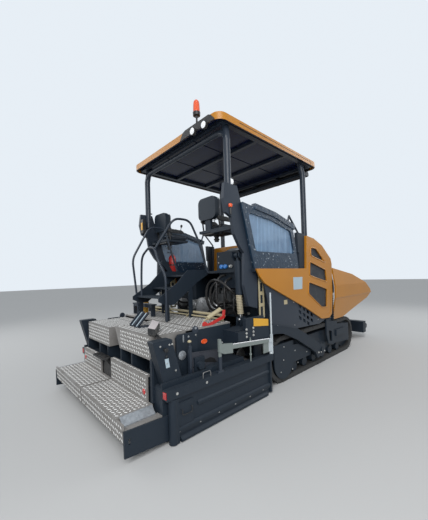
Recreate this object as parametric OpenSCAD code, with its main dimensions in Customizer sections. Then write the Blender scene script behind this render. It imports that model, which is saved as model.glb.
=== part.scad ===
// Tracked asphalt paver with an extending screed.
// Stations run forward from the rear edge of the walkway, X points to the right of the
// machine, Z points up from the ground. All sizes are in millimetres.

/* [Tracks] */
// Distance between the sprocket and idler centres
track_base = 2480; // [2200:10:2800]
// Distance between the middles of the two tracks
track_gauge = 2050; // [2040:5:2060]
// Width of a track shoe
shoe_w = 305; // [260:5:310]
// Radius over the shoes at the sprocket and the idler
track_r = 360; // [340:5:365]
// Thickness of a shoe over the chain
shoe_t = 30; // [20:1:40]
// Thickness of the chain
chain_t = 40; // [30:1:50]
// Number of shoes on one track
shoe_count = 42; // [36:1:46]
// Gap between two shoes on the straight
shoe_gap = 18; // [12:1:30]

/* [Stations] */
// Depth of the rear walkway
walkway_l = 400; // [350:10:450]
// Depth of the extension screed
extension_l = 480; // [440:10:520]
// Depth of the space for the guide tubes
guide_zone_l = 150; // [140:5:180]
// Depth of the main screed
main_l = 650; // [600:10:700]
// Clear depth between the main screed and the auger
auger_space = 170; // [150:5:220]
// Diameter of the auger
auger_d = 360; // [320:10:400]
// Length of the body from the rear wall to the hopper
body_l = 2100; // [2050:10:2200]
// Length of the hopper
hopper_l = 2050; // [1950:10:2150]

/* [Body] */
// Width over the yellow side panels
body_w = 2450; // [2450:5:2460]
// Thickness of a side panel
panel_t = 25; // [15:1:30]
// Inside width of the material tunnel
tunnel_w = 1000; // [900:10:1040]
// Height of the platform floor
deck_z = 1780; // [1760:5:1850]
// Highest point of the engine hood
hood_z = 2370; // [2300:10:2450]
// Thickness of the hood skin
skin_t = 25; // [15:1:35]

/* [Canopy] */
// Width of the canopy
canopy_w = 2350; // [2250:10:2400]
// Length of the canopy
canopy_l = 2660; // [2500:10:2800]
// Top of the canopy
canopy_z = 3850; // [3750:10:3950]
// Height of the valance
canopy_t = 120; // [100:5:160]
// Diameter of a canopy post
post_d = 100; // [80:2:110]

/* [Screed] */
// Overall width over the end gates
gate_w = 2600; // [2600:5:2640]
// Ground clearance under the screed sole
sole_z = 20; // [10:5:40]
// Height of the screed deck
screed_deck_z = 1060; // [1020:5:1080]
// Travel of one extension
extension_travel = 1100; // [900:10:1120]
// Diameter of a guide tube
guide_d = 90; // [80:2:110]
// Height of the tow point
tow_z = 280; // [260:5:300]
// Diameter of the tow pin
tow_pin_d = 60; // [50:2:70]

/* [Front] */
// Diameter of a push roller
push_roller_d = 200; // [180:5:220]
// Height of the push roller centres
push_roller_z = 275; // [260:5:300]

/* [Hidden] */
$fn = 48;

// Running clearance at pins, shafts and rods
fit = 0.3;
// Clearance between pieces that pass each other
clear = 10;

dark = "#2a2c30";
yellow = "#e0a024";
silver = "#b9bcc0";
rubber = "#1c1c1d";

// Stations, each from the piece behind it
s_extension = walkway_l + 20;
s_guide = s_extension + extension_l;
s_main = s_guide + guide_zone_l;
s_main_front = s_main + main_l;
s_auger = s_main_front + auger_space + auger_d / 2;
s_body = s_auger + auger_d / 2 + 70;
s_sprocket = s_body + 320;
s_idler = s_sprocket + track_base;
s_hopper = s_body + body_l;
s_hopper_front = s_hopper + hopper_l;
push_beam_t = 170;
s_push_roller = s_hopper_front + push_beam_t + push_roller_d / 2 + 5;
s_front = s_push_roller + push_roller_d / 2;
s_deck = s_body - 350;
s_deck_front = s_hopper - 1025;

// Track values
chain_r = track_r - shoe_t;
chain_in_r = chain_r - chain_t;
shoe_pitch = (2 * track_base + 2 * PI * chain_r) / shoe_count;
shoe_l = shoe_pitch - shoe_gap;
track_x = track_gauge / 2 - shoe_w / 2;
track_x_out = track_x + shoe_w;

// Body values
panel_x = body_w / 2 - panel_t;
skirt_t = panel_x - track_x_out - 6;
side_x = track_x_out + 6;
tunnel_x = tunnel_w / 2;
tunnel_floor_z = 400;
tunnel_roof_z = 1000;
chassis_x = 820;
flange_z = 800;
plate_t = 30;
deck_t = 40;
tank_z = flange_z + plate_t;
engine_z = tunnel_roof_z + plate_t;
cover_x = track_x_out + 3;
cover_t = 19;
cover_r = 270;

// Tow point and lift cylinder, in the plane of the side
s_tow = s_body + 1480;
arm_x = body_w / 2 - 10;
arm_t = 50;
lift_x = 1000;
s_lift_top = s_deck - 120;
lift_top_z = deck_z + 200;
s_lift_eye = s_main_front + 170;
lift_eye_z = 1050;
lift_eye_w = 48;
lift_pin_d = 40;
rod_d = 50;
barrel_d = 112;
barrel_l = 560;
rod_l = 520;
lift_dx = s_lift_eye - s_lift_top;
lift_dz = lift_top_z - lift_eye_z;
lift_len = sqrt(lift_dx * lift_dx + lift_dz * lift_dz);
lift_lean = atan2(lift_dx, lift_dz);

// Hopper wing values
hinge_x = 500;
hinge_z = 740;
hinge_d = 60;
hinge_pin_d = 30;
wing_t = 30;
wing_hinge_front = s_hopper + 1650;
// Foot of the wing's outer wall
wing_z = 745;

// Screed values
gate_x = gate_w / 2 - 55;
main_x = gate_x - 45;
upper_x = main_x - 200;
// Height of the upper box's frame, and where its inner plate stands
box_z = 780;
upper_in_x = 200;
end_plate_t = 30;
screed_wall = 18;
carrier_x = arm_x - 15;
guide_s = s_guide + guide_zone_l / 2;
guide_z_right = 660;
guide_z_left = 380;
bearing_w = 120;

module from_tail() {
    translate([0, -s_front / 2, 0]) children();
}

module on_side(side) {
    if (side > 0) children();
    else mirror([1, 0, 0]) children();
}

// Box between two corners
module block(x, s, z) {
    translate([x[0], s[0], z[0]]) cube([x[1] - x[0], s[1] - s[0], z[1] - z[0]]);
}

// Outline in station and height, extruded across the machine
module side_prism(x) {
    translate([x[0], 0, 0]) rotate([90, 0, 90]) linear_extrude(x[1] - x[0]) children();
}

// Outline in width and height, extruded along the machine
module cross_prism(s) {
    translate([0, s[1], 0]) rotate([90, 0, 0]) linear_extrude(s[1] - s[0]) children();
}

// Cylinder across the machine
module cross_pin(x, s, z, d) {
    translate([x[0], s, z]) rotate([0, 90, 0]) cylinder(d = d, h = x[1] - x[0]);
}

// Round bar from one point to another
module bar(a, b, d) {
    v = b - a;
    len = norm(v);
    translate(a)
        rotate([0, acos(v[2] / len), atan2(v[1], v[0])])
        cylinder(d = d, h = len, $fn = 24);
}

// Round tube bent through a list of points, with welded ball corners
module bent_tube(points, d) {
    for (i = [0 : len(points) - 2]) bar(points[i], points[i + 1], d);
    for (i = [1 : len(points) - 2]) translate(points[i]) sphere(d = d + 2, $fn = 24);
}

module stadium(r) {
    translate([s_sprocket, track_r]) circle(r, $fn = 96);
    translate([s_idler, track_r]) circle(r, $fn = 96);
    translate([s_sprocket, track_r - r]) square([track_base, 2 * r]);
}

function unit(v) = v / norm(v);

function reversed(line) = [for (i = [len(line) - 1 : -1 : 0]) line[i]];

// Arc that rounds the corner b between a and c
function corner(a, b, c, r, n) =
    let (u = unit(a - b), v = unit(c - b), half = acos(u * v) / 2,
        centre = b + unit(u + v) * r / sin(half),
        p = b + u * r / tan(half) - centre, q = b + v * r / tan(half) - centre)
    [for (k = [0 : n]) centre + r * unit(p + (q - p) * k / n)];

// Closed outline with each corner rounded
function rounded(outline, r, n = 4) =
    let (m = len(outline))
    [for (i = [0 : m - 1])
        each corner(outline[(i + m - 1) % m], outline[i], outline[(i + 1) % m], r, n)];

function left_of(a, b) = let (d = unit(b - a)) [-d[1], d[0]];

// Open line moved to its left by t, with mitred corners
function inset(line, t) =
    let (last = len(line) - 1)
    [for (i = [0 : last])
        let (n1 = left_of(line[max(i - 1, 0)], line[max(i, 1)]),
            n2 = left_of(line[min(i, last - 1)], line[min(i + 1, last)]),
            m = unit(n1 + n2))
        line[i] + m * t / (m * n1)];

// Strip of thickness t on the left of an open line
function strip(line, t) = concat(line, reversed(inset(line, t)));

// Tracks

module shoe(outer) {
    translate([-shoe_l / 2, chain_r - 5]) square([shoe_l, outer - chain_r + 5]);
}

module track_outline() {
    half_turn = PI * chain_r;
    curve_outer = sqrt(track_r * track_r - shoe_l * shoe_l / 4);
    difference() {
        stadium(chain_r);
        stadium(chain_in_r);
    }
    for (i = [0 : shoe_count - 1]) {
        d = (i + 0.5) * shoe_pitch;
        if (d < track_base)
            translate([s_sprocket + d, track_r]) shoe(track_r);
        else if (d < track_base + half_turn)
            translate([s_idler, track_r])
                rotate(-(d - track_base) / chain_r * 180 / PI) shoe(curve_outer);
        else if (d < 2 * track_base + half_turn)
            translate([s_idler - (d - track_base - half_turn), track_r])
                rotate(180) shoe(track_r);
        else
            translate([s_sprocket, track_r])
                rotate(180 - (d - 2 * track_base - half_turn) / chain_r * 180 / PI)
                shoe(curve_outer);
    }
}

module track(side) {
    color(rubber) from_tail() on_side(side)
        side_prism([track_x, track_x_out]) track_outline();
}

module track_frame(side) {
    wheel_r = chain_in_r - fit;
    roller_r = 80;
    roller_z = track_r - wheel_r + roller_r;
    carrier_r = 50;
    mid = [track_x + 60, track_x_out - 60];
    color(dark) from_tail() on_side(side) {
        block(mid, [s_sprocket + 200, s_idler - 200], [200, 570]);
        for (s = [s_sprocket, s_idler]) {
            cross_pin([mid[0] + 25, mid[1] - 25], s, track_r, 2 * wheel_r);
            cross_pin([mid[0] - 20, mid[1] + 20], s, track_r, 260);
        }
        for (i = [0 : 5])
            cross_pin([mid[0] - 25, mid[1] + 25],
                s_sprocket + 390 + i * (track_base - 780) / 5, roller_z, 2 * roller_r);
        for (i = [0 : 1])
            cross_pin(mid, s_sprocket + track_base * (i + 1) / 3,
                track_r + wheel_r - carrier_r, 2 * carrier_r);
        for (s = [s_sprocket + 400, s_idler - 900])
            block([chassis_x, mid[0] + 10], [s, s + 420], [420, 560]);
        // Sprocket cover with a round foot and the plate in front of it
        side_prism([cover_x, cover_x + cover_t]) {
            translate([s_sprocket + 15, track_r - 30]) circle(cover_r, $fn = 96);
            translate([s_sprocket + 15 - cover_r, track_r - 30])
                square([2 * cover_r, cover_r + 10]);
            polygon(rounded([
                [s_sprocket, 250], [s_sprocket, 550], [s_body + 760, 520],
                [s_body + 1185, 320], [s_body + 1170, 250]
            ], 24));
        }
        cross_pin([mid[1], cover_x + 5], s_sprocket, track_r, 200);
        block([mid[1] - 5, cover_x + 5], [s_sprocket + 480, s_sprocket + 600], [300, 440]);
        // Tow point with its pin
        block([mid[1] - 5, arm_x - 5], [s_tow - 110, s_tow + 110],
            [tow_z - 90, tow_z + 110]);
        cross_pin([mid[1], arm_x + arm_t + 8], s_tow, tow_z, tow_pin_d);
        cross_pin([arm_x + arm_t + 5, arm_x + arm_t + 15], s_tow, tow_z, tow_pin_d + 40);
    }
}

module track_frames() {
    for (side = [-1, 1]) track_frame(side);
}

// Chassis and body

module chassis_section() {
    difference() {
        union() {
            translate([-chassis_x, tunnel_floor_z])
                square([2 * chassis_x, flange_z + plate_t - tunnel_floor_z]);
            translate([-tunnel_x - plate_t, flange_z])
                square([tunnel_w + 2 * plate_t, tunnel_roof_z + plate_t - flange_z]);
            translate([-panel_x + skirt_t, flange_z])
                square([2 * (panel_x - skirt_t), plate_t]);
        }
        translate([-tunnel_x, tunnel_floor_z + 20])
            square([tunnel_w, tunnel_roof_z - tunnel_floor_z - 20]);
    }
}

slide_z = 620;

module chassis() {
    color(dark) from_tail() {
        cross_prism([s_body, s_hopper]) chassis_section();
        // Floor, rails and front cross member under the hopper
        block([-tunnel_x, tunnel_x], [s_hopper - 5, s_hopper_front],
            [tunnel_floor_z, tunnel_floor_z + 20]);
        for (side = [-1, 1]) on_side(side)
            block([tunnel_x - 30, tunnel_x + 100], [s_hopper - 5, s_hopper_front],
                [tunnel_floor_z, hinge_z - 40]);
        block([-tunnel_x - 100, tunnel_x + 100], [s_hopper_front - 60, s_hopper_front],
            [push_roller_z - 100, slide_z]);
        // Hinge pins of the hopper wings and the lugs that hold them
        for (side = [-1, 1]) on_side(side) {
            for (s = [s_hopper + 5, wing_hinge_front + clear]) {
                block([hinge_x - 30, hinge_x + 30], [s, s + 25],
                    [hinge_z - 45, hinge_z]);
                translate([hinge_x, s, hinge_z]) rotate([-90, 0, 0])
                    cylinder(d = 60, h = 25);
            }
            translate([hinge_x, s_hopper + 10, hinge_z]) rotate([-90, 0, 0])
                cylinder(d = hinge_pin_d, h = wing_hinge_front - s_hopper + 10);
        }
        // Side boxes over the front of the tracks
        for (side = [-1, 1]) on_side(side)
            block([chassis_x + 60, panel_x - 30], [s_hopper - 330, s_hopper - 30],
                [2 * track_r + 18, flange_z + 5]);
        // Step frame and valve housing beside the front of the tracks
        for (side = [-1, 1]) on_side(side) {
            side_prism([side_x, panel_x + 10]) difference() {
                polygon([
                    [s_hopper - 290, 775], [s_hopper + 190, 690], [s_hopper + 190, 560],
                    [s_hopper + 20, 560], [s_hopper + 20, 250], [s_hopper - 220, 310],
                    [s_hopper - 290, 480]
                ]);
                polygon([
                    [s_hopper - 190, 560], [s_hopper - 60, 530], [s_hopper - 60, 330],
                    [s_hopper - 170, 360]
                ]);
            }
            side_prism([side_x, panel_x - 2]) polygon(rounded([
                [s_hopper + 15, 270], [s_hopper + 15, 660], [s_hopper + 790, 580],
                [s_hopper + 790, 210]
            ], 18));
            block([panel_x - 5, panel_x + 25], [s_hopper + 120, s_hopper + 560], [400, 520]);
            block([panel_x - 120, side_x + 8], [s_hopper - 280, s_hopper - 40],
                [flange_z - 60, flange_z - 10]);
        }
        // Slide plates that carry the conveyor chains
        block([-tunnel_x - 5, tunnel_x + 5], [s_body + 150, s_hopper_front - 200],
            [slide_z - 20, slide_z]);
    }
}

module engine_block() {
    color("#55585c") from_tail()
        block([-380, 380], [s_deck_front + 40, s_hopper - 150], [engine_z, engine_z + 700]);
}

// Upper edge of the cowl, from the platform to the hopper
cowl_top = [
    [s_deck_front, deck_z], [s_deck_front + 45, hood_z - 10],
    [s_hopper - 720, hood_z - 40], [s_hopper - 400, hood_z - 150],
    [s_hopper - 40, hood_z - 395], [s_hopper, hood_z - 500]
];

// Lower edge of the yellow side, from the platform's rear corner to the hopper
cowl_lower = [
    [s_deck + 20, deck_z], [s_deck + 100, deck_z - 120], [s_deck + 200, deck_z - 210],
    [s_deck + 350, deck_z - 280], [s_hopper - 1070, deck_z - 690],
    [s_hopper - 510, deck_z - 945], [s_hopper - 200, deck_z - 965],
    [s_hopper - 75, deck_z - 900], [s_hopper - 10, deck_z - 470]
];

module engine_hood() {
    pad = [s_hopper - 840, s_hopper - 720];
    color(yellow) from_tail() {
        side_prism([-panel_x, panel_x])
            polygon(strip(concat(cowl_top, [[s_hopper, engine_z]]), -skin_t));
        for (side = [-1, 1]) on_side(side)
            block([post_x - 60, post_x + 60], pad, [hood_z - 90, hood_z - 20]);
    }
}

windows = [
    [[s_hopper - 850, hood_z - 210], [s_hopper - 650, hood_z - 220],
        [s_hopper - 280, hood_z - 480], [s_hopper - 860, hood_z - 355]],
    [[s_hopper - 900, deck_z + 125], [s_hopper - 285, deck_z - 25],
        [s_hopper - 240, deck_z - 265], [s_hopper - 920, deck_z - 125]],
    [[s_hopper - 960, deck_z - 235], [s_hopper - 250, deck_z - 400],
        [s_hopper - 280, deck_z - 750], [s_hopper - 490, deck_z - 735],
        [s_hopper - 985, deck_z - 445]]
];

module side_panel(side) {
    border = [for (i = [1 : len(cowl_lower) - 1]) cowl_lower[i]];
    color(yellow) from_tail() on_side(side) {
        side_prism([panel_x, panel_x + panel_t]) difference() {
            polygon(concat(cowl_lower, reversed(cowl_top)));
            for (w = windows) polygon(rounded(w, 32));
        }
        // Raised border along the lower edge
        side_prism([panel_x + panel_t - 1, panel_x + panel_t + 6])
            polygon(strip(border, 62));
    }
}

module side_panels() {
    for (side = [-1, 1]) side_panel(side);
}

module cowl_grille(side) {
    color(rubber) from_tail() on_side(side)
        side_prism([panel_x - 20, panel_x]) difference() {
            polygon([
                [s_hopper - 1020, deck_z - 480], [s_hopper - 900, hood_z - 170],
                [s_hopper - 620, hood_z - 180], [s_hopper - 230, hood_z - 440],
                [s_hopper - 200, deck_z - 270], [s_hopper - 240, deck_z - 790],
                [s_hopper - 500, deck_z - 775]
            ]);
            for (w = windows) intersection() {
                polygon(w);
                for (i = [0 : 17])
                    translate([s_hopper - 1000, deck_z - 740 + i * 65]) square([800, 24]);
            }
        }
}

module cowl_grilles() {
    for (side = [-1, 1]) cowl_grille(side);
}

module skirt(side) {
    top = [for (i = [2 : 5]) cowl_lower[i] + [0, 60]];
    louvre = [s_hopper - 1290, 1130];
    color(dark) from_tail() on_side(side)
        side_prism([panel_x - skirt_t, panel_x]) difference() {
            polygon(concat(top, [
                [s_hopper - 330, 795], [s_hopper - 540, 745], [s_hopper - 1350, 780],
                [s_body + 80, 850]
            ]));
            // Slanted slots in columns that follow the cowl's lower edge
            for (col = [0 : 3], row = [0 : 2])
                if (col + row < 5)
                    translate(louvre + [col * 135, -col * 64 - row * 100])
                        polygon([[0, 0], [85, -40], [85, 16], [0, 56]]);
        }
}

module skirts() {
    for (side = [-1, 1]) skirt(side);
}

module hopper_back() {
    seal_x = [panel_x - 30, panel_x + 14];
    rib_pitch = 46;
    color(dark) from_tail() {
        cross_prism([s_hopper, s_hopper + plate_t]) difference() {
            translate([-panel_x + 20, flange_z + 20])
                square([2 * panel_x - 40, hood_z - 510 - flange_z - 20]);
            translate([-tunnel_x, flange_z]) square([tunnel_w, 200]);
        }
        // Ribbed rubber seal between the body and the hopper wing
        for (side = [-1, 1]) on_side(side) {
            block(seal_x, [s_hopper + 8, s_hopper + plate_t], [735, 1280]);
            cross_prism([s_hopper + 8, s_hopper + plate_t]) polygon([
                [seal_x[0], 1275], [seal_x[1], 1275], [panel_x + 40, 1300],
                [panel_x + 40, 1430], [panel_x - 10, 1790], [panel_x - 40, 1790]
            ]);
            for (i = [0 : 10])
                block([seal_x[1] - 2, seal_x[1] + 10], [s_hopper + 8, s_hopper + plate_t],
                    [750 + i * rib_pitch, 772 + i * rib_pitch]);
        }
    }
}

// Conveyor with two slat chains

module conveyor_outline() {
    r = (slide_z + 15 - tunnel_floor_z - 60) / 2;
    z = tunnel_floor_z + 60 + r;
    s0 = s_body + 60 + r;
    s1 = s_hopper_front - 90 - r;
    slats = 36;
    difference() {
        union() {
            translate([s0, z]) circle(r);
            translate([s1, z]) circle(r);
            translate([s0, z - r]) square([s1 - s0, 2 * r]);
            for (i = [0 : slats - 1], turn = [0, 1])
                translate([s0 + i * (s1 - s0) / (slats - 1) - 15,
                    turn == 0 ? z + r - 5 : z - r - 20])
                    square([30, 25]);
        }
        translate([s0, z - r + 15]) square([s1 - s0, 2 * r - 30]);
    }
}

module conveyor() {
    color(silver) from_tail()
        for (side = [-1, 1]) on_side(side)
            side_prism([30, tunnel_x - 40]) conveyor_outline();
}

// Hopper wings

module wing_section() {
    polygon([
        [1200, wing_z], [1262, 1160], [1275, 1180], [1275, 1432], [1218, 1805],
        [1218 - wing_t, 1800], [1275 - wing_t, 1428], [1275 - wing_t, 1195],
        [1200 - wing_t, wing_z + wing_t]
    ]);
}

// Floor between the hinge and the foot of the wall, rising to the front corner
module wing_floor(s0) {
    z0 = hinge_z - 12;
    low = [
        [hinge_x, s0, z0], [1185, s0, wing_z - 3], [1185, s_hopper + 500, wing_z - 3],
        [1196, s_hopper + 870, 832], [1228, s_hopper + 1850, 1050],
        [hinge_x, wing_hinge_front - 40, z0]
    ];
    n = len(low);
    halves = [[0, 1, 2], [0, 2, 5], [5, 2, 3], [5, 3, 4]];
    polyhedron(concat(low, [for (p = low) p + [0, 0, wing_t]]), concat(
        halves,
        [for (h = halves) [h[2] + n, h[1] + n, h[0] + n]],
        [for (i = [0 : n - 1]) [i, i + n, (i + 1) % n + n, (i + 1) % n]]
    ));
}

module hopper_wing(side) {
    s0 = s_hopper + plate_t + clear;
    color(yellow) from_tail() on_side(side) difference() {
        union() {
            intersection() {
                cross_prism([s0, s_hopper + 2200]) wing_section();
                side_prism([1000, 1400]) polygon([
                    [s0, 700], [s0, 1790], [s_hopper + 1010, 1650],
                    [s_hopper + 1760, 1440], [s_hopper + 2060, 1270],
                    [s_hopper + 2130, 1180], [s_hopper + 1910, 1060],
                    [s_hopper + 1310, 930], [s_hopper + 870, 830],
                    [s_hopper + 500, wing_z - 5], [s_hopper + 500, 700]
                ]);
            }
            wing_floor(s0);
            translate([hinge_x, s0, hinge_z]) rotate([-90, 0, 0])
                cylinder(d = hinge_d, h = wing_hinge_front - s0);
        }
        translate([hinge_x, s0 - 1, hinge_z]) rotate([-90, 0, 0])
            cylinder(d = hinge_pin_d + 2 * fit, h = wing_hinge_front - s0 + 2);
    }
}

// Push beam and rollers

beam_x = 1090;
roller_end = beam_x - 60;

module push_beam() {
    color(dark) from_tail() {
        difference() {
            block([-beam_x, beam_x], [s_hopper_front, s_hopper_front + push_beam_t],
                [push_roller_z - 140, push_roller_z + 140]);
            block([-tunnel_x, tunnel_x], [s_hopper_front - 1, s_hopper_front + push_beam_t - 60],
                [push_roller_z - 141, push_roller_z - 110]);
            for (x = [-800, -300, 300, 800])
                block([x - 150, x + 150],
                    [s_hopper_front + push_beam_t - 30, s_hopper_front + push_beam_t + 1],
                    [push_roller_z - 90, push_roller_z + 90]);
        }
        for (side = [-1, 1]) on_side(side) for (x = [10, roller_end + 5])
            difference() {
                roller_ear(x);
                cross_pin([x - 1, x + 31], s_push_roller, push_roller_z, 50 + 2 * fit);
            }
    }
}

module roller_ear(x) {
    block([x, x + 30], [s_hopper_front + push_beam_t - 5, s_push_roller],
        [push_roller_z - 60, push_roller_z + 60]);
    cross_pin([x, x + 30], s_push_roller, push_roller_z, 120);
}

module push_roller(side) {
    color("#8b8d90") from_tail() on_side(side) {
        cross_pin([45, roller_end], s_push_roller, push_roller_z, push_roller_d);
        cross_pin([12, roller_end + 32], s_push_roller, push_roller_z, 50);
    }
}

// Auger

auger_z = 400;
auger_end = 1090;
auger_pitch = 330;

module auger_carrier() {
    color(dark) from_tail() {
        difference() {
            union() {
                block([-50, 50], [s_auger - 110, s_auger + 110], [280, 700]);
                block([-1130, 1130], [s_auger + 90, s_body - 70], [640, 790]);
                block([-50, 50], [s_auger, s_auger + 120], [640, 790]);
                for (side = [-1, 1]) on_side(side) {
                    block([tunnel_x + 60, chassis_x - 40], [s_body - 75, s_body],
                        [640, 790]);
                    block([auger_end + 10, auger_end + 40],
                        [s_auger - 60, s_auger + 100], [340, 790]);
                    cross_pin([auger_end + 10, auger_end + 40], s_auger, auger_z, 120);
                }
            }
            for (side = [-1, 1]) on_side(side)
                cross_pin([auger_end, auger_end + 41], s_auger, auger_z, 60 + 2 * fit);
            cross_pin([-51, 51], s_auger, auger_z, 100 + 2 * fit);
        }
        cross_pin([-20, 20], s_auger, auger_z, 110);
    }
}

// Screw blade that winds along X
module helical_flight(r0, r1, pitch, turns, t, n) {
    corners = [[r0, -t / 2], [r1, -t / 2], [r1, t / 2], [r0, t / 2]];
    points = [
        for (i = [0 : n], c = corners)
            let (a = 360 * turns * i / n)
            [pitch * turns * i / n + c[1], c[0] * cos(a), c[0] * sin(a)]
    ];
    polyhedron(points, concat(
        [[3, 2, 1, 0]],
        [for (i = [0 : n - 1], k = [0 : 3])
            [i * 4 + k, i * 4 + (k + 1) % 4, (i + 1) * 4 + (k + 1) % 4, (i + 1) * 4 + k]],
        [[for (k = [0 : 3]) n * 4 + k]]
    ));
}

module auger(side) {
    shaft_d = 100;
    turns = (auger_end - 80) / auger_pitch;
    steps = 54;
    // The blade's inner corners stand off so that its flats just clear the shaft
    blade_r = (shaft_d / 2 + 0.1) / cos(180 * turns / steps);
    color("#77797c") from_tail() on_side(side) {
        cross_pin([21, auger_end], s_auger, auger_z, shaft_d);
        cross_pin([auger_end - 5, auger_end + 38], s_auger, auger_z, 60);
        translate([60, s_auger, auger_z])
            helical_flight(blade_r, auger_d / 2, auger_pitch, turns, 14, steps);
    }
}

// Tanks and hydraulics under the platform

module tanks() {
    color(dark) from_tail() for (side = [-1, 1]) on_side(side)
        block([tunnel_x + plate_t, panel_x - skirt_t], [s_body, s_deck_front - 35],
            [tank_z, deck_z - deck_t]);
}

module hydraulics() {
    color("#3b3e42") from_tail() {
        block([-460, 460], [s_body + 260, s_body + 900], [engine_z, engine_z + 320]);
        for (x = [-330, -110, 110, 330])
            translate([x, s_body + 400, engine_z + 315]) cylinder(d = 150, h = 200);
        block([-400, 400], [s_body + 60, s_body + 265], [engine_z, engine_z + 180]);
    }
}

// Platform

module platform_deck() {
    lug = [
        [s_deck - 1, deck_z], [s_lift_top - 50, lift_top_z - 20],
        [s_lift_top - 50, lift_top_z + 50], [s_lift_top + 50, lift_top_z + 50],
        [s_deck + 100, deck_z], [s_deck, deck_z - 5]
    ];
    lug_gap = barrel_d / 2 + 7;
    color(dark) from_tail() {
        difference() {
            block([-panel_x, panel_x], [s_deck, s_deck_front], [deck_z - deck_t, deck_z]);
            block(stair_recess_x, [s_deck - 1, s_deck + 185],
                [deck_z - deck_t - 1, deck_z + 1]);
            for (side = [-1, 1]) on_side(side)
                block([corner_x, corner_x + 50], [s_deck - 1, s_deck + 120],
                    [deck_z - deck_t - 1, deck_z + 1]);
        }
        for (side = [-1, 1]) on_side(side) {
            for (x = [lift_x - lug_gap - 12, lift_x + lug_gap])
                side_prism([x, x + 12]) polygon(lug);
            cross_pin([lift_x - lug_gap - 16, lift_x + lug_gap + 16],
                s_lift_top, lift_top_z, lift_pin_d);
        }
        // Housings between the screens and the cowl
        for (side = [-1, 1]) on_side(side)
            side_prism([panel_x - 60, panel_x - 4]) polygon([
                [s_deck_front - 180, deck_z - 5], [s_deck_front - 15, deck_z - 5],
                [s_deck_front + 15, deck_z + 560], [s_deck_front + 10, deck_z + 615],
                [s_deck_front - 220, deck_z + 620], [s_deck_front - 210, deck_z + 280],
                [s_deck_front - 180, deck_z + 270]
            ]);
        // Control box at the rear edge
        block([440, 900], [s_deck + 10, s_deck + 170], [deck_z, deck_z + 290]);
        block([440, 900], [s_deck + 60, s_deck + 170], [deck_z - deck_t - 240, deck_z - 10]);
        // Slotted height scale that hangs from the corner
        difference() {
            block([panel_x - 70, panel_x - 58], [s_deck + 215, s_deck + 275],
                [deck_z - deck_t - 650, deck_z - deck_t + 5]);
            for (z = [1160, 1330, 1500])
                block([panel_x - 71, panel_x - 57], [s_deck + 237, s_deck + 253], [z, z + 120]);
        }
    }
}

module console() {
    s = s_deck_front - 425;
    wall = 12;
    color(dark) from_tail() {
        difference() {
            block([-260, 260], [s + 60, s + 260], [deck_z, deck_z + 330]);
            block([-260 + wall, 260 - wall], [s + 60 + wall, s + 260 - wall],
                [deck_z + wall, deck_z + 331]);
        }
        side_prism([-430, 430]) polygon([
            [s, deck_z + 330], [s - 60, deck_z + 370], [s + 260, deck_z + 500],
            [s + 320, deck_z + 330]
        ]);
    }
}

// Side and distance from the middle of each seat
seats = [[1, 512], [-1, 822]];
s_seat = s_deck - 250;
seat_z = deck_z + 620;

module seat_frames() {
    color(dark) from_tail() for (seat = seats) on_side(seat[0]) {
        x = seat[1];
        // Shell behind the back cushion
        cross_prism([s_seat, s_seat + 70]) polygon(rounded([
            [x - 195, seat_z + 160], [x - 195, seat_z + 500],
            [x + 195, seat_z + 500], [x + 195, seat_z + 160]
        ], 80));
        block([x - 60, x + 60], [s_seat + 20, s_seat + 60], [seat_z - 40, seat_z + 165]);
        block([x - 200, x + 200], [s_seat + 15, s_seat + 500], [seat_z - 40, seat_z]);
        // Swing arm that hangs the seat on the corner plate
        block([x + 190, corner_x], [s_seat - 40, s_seat + 30], [seat_z - 70, seat_z - 10]);
        block([x + 130, x + 200], [s_seat - 40, s_seat + 120], [seat_z - 70, seat_z - 35]);
    }
}

module seat_cushion(seat) {
    x = seat[1];
    color("#26282b") from_tail() on_side(seat[0]) {
        block([x - 205, x + 205], [s_seat + 130, s_seat + 510],
            [seat_z + fit, seat_z + 90]);
        block([x - 185, x + 185], [s_seat + 70 + fit, s_seat + 150],
            [seat_z + 150, seat_z + 490]);
    }
}

module seat_cushions() {
    for (seat = seats) seat_cushion(seat);
}

screen_outline = [
    [s_deck + 30, deck_z], [s_deck - 220, deck_z + 900], [s_deck - 190, deck_z + 915],
    [s_deck_front - 885, deck_z + 820], [s_deck_front - 345, deck_z + 680],
    [s_deck_front - 195, deck_z]
];
screen_window = [
    [s_deck + 70, deck_z + 250], [s_deck - 80, deck_z + 790],
    [s_deck_front - 905, deck_z + 735], [s_deck_front - 425, deck_z + 620],
    [s_deck_front - 315, deck_z + 250]
];
screen_x = panel_x - 40;

module screen(side) {
    visor = [
        [s_deck_front - 315, deck_z + 655], [s_deck_front - 865, deck_z + 795],
        [s_deck + 60, deck_z + 855]
    ];
    color(dark) from_tail() on_side(side) {
        side_prism([screen_x, screen_x + 30]) difference() {
            polygon(screen_outline);
            polygon(rounded(screen_window, 45));
        }
        // Padded roll along the top edge
        side_prism([screen_x - 25, screen_x + 45]) polygon(strip(visor, -80));
    }
}

module screens() {
    for (side = [-1, 1]) screen(side);
}

module screen_panes() {
    color("#9fb3c0") from_tail() for (side = [-1, 1]) on_side(side)
        side_prism([screen_x - 6, screen_x]) polygon([
            screen_window[0] + [-20, -20], screen_window[1] + [-20, 20],
            screen_window[2] + [0, 20], screen_window[3] + [10, 20],
            screen_window[4] + [20, -20]
        ]);
}

module guard_rails() {
    x = screen_x - 45;
    color(dark) from_tail() for (side = [-1, 1]) on_side(side)
        bent_tube([
            [x, s_deck_front - 60, deck_z], [x, s_deck_front - 60, deck_z + 640],
            [x, s_deck_front - 330, deck_z + 900], [x, s_deck_front - 420, deck_z + 700]
        ], 32);
}

// Canopy

canopy_s = s_deck - 580;
frame_z = canopy_z - 110;
post_x = 1075;
corner_x = 1100;
stair_recess_x = [-640, 400];
s_post = s_deck - 350;

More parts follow.
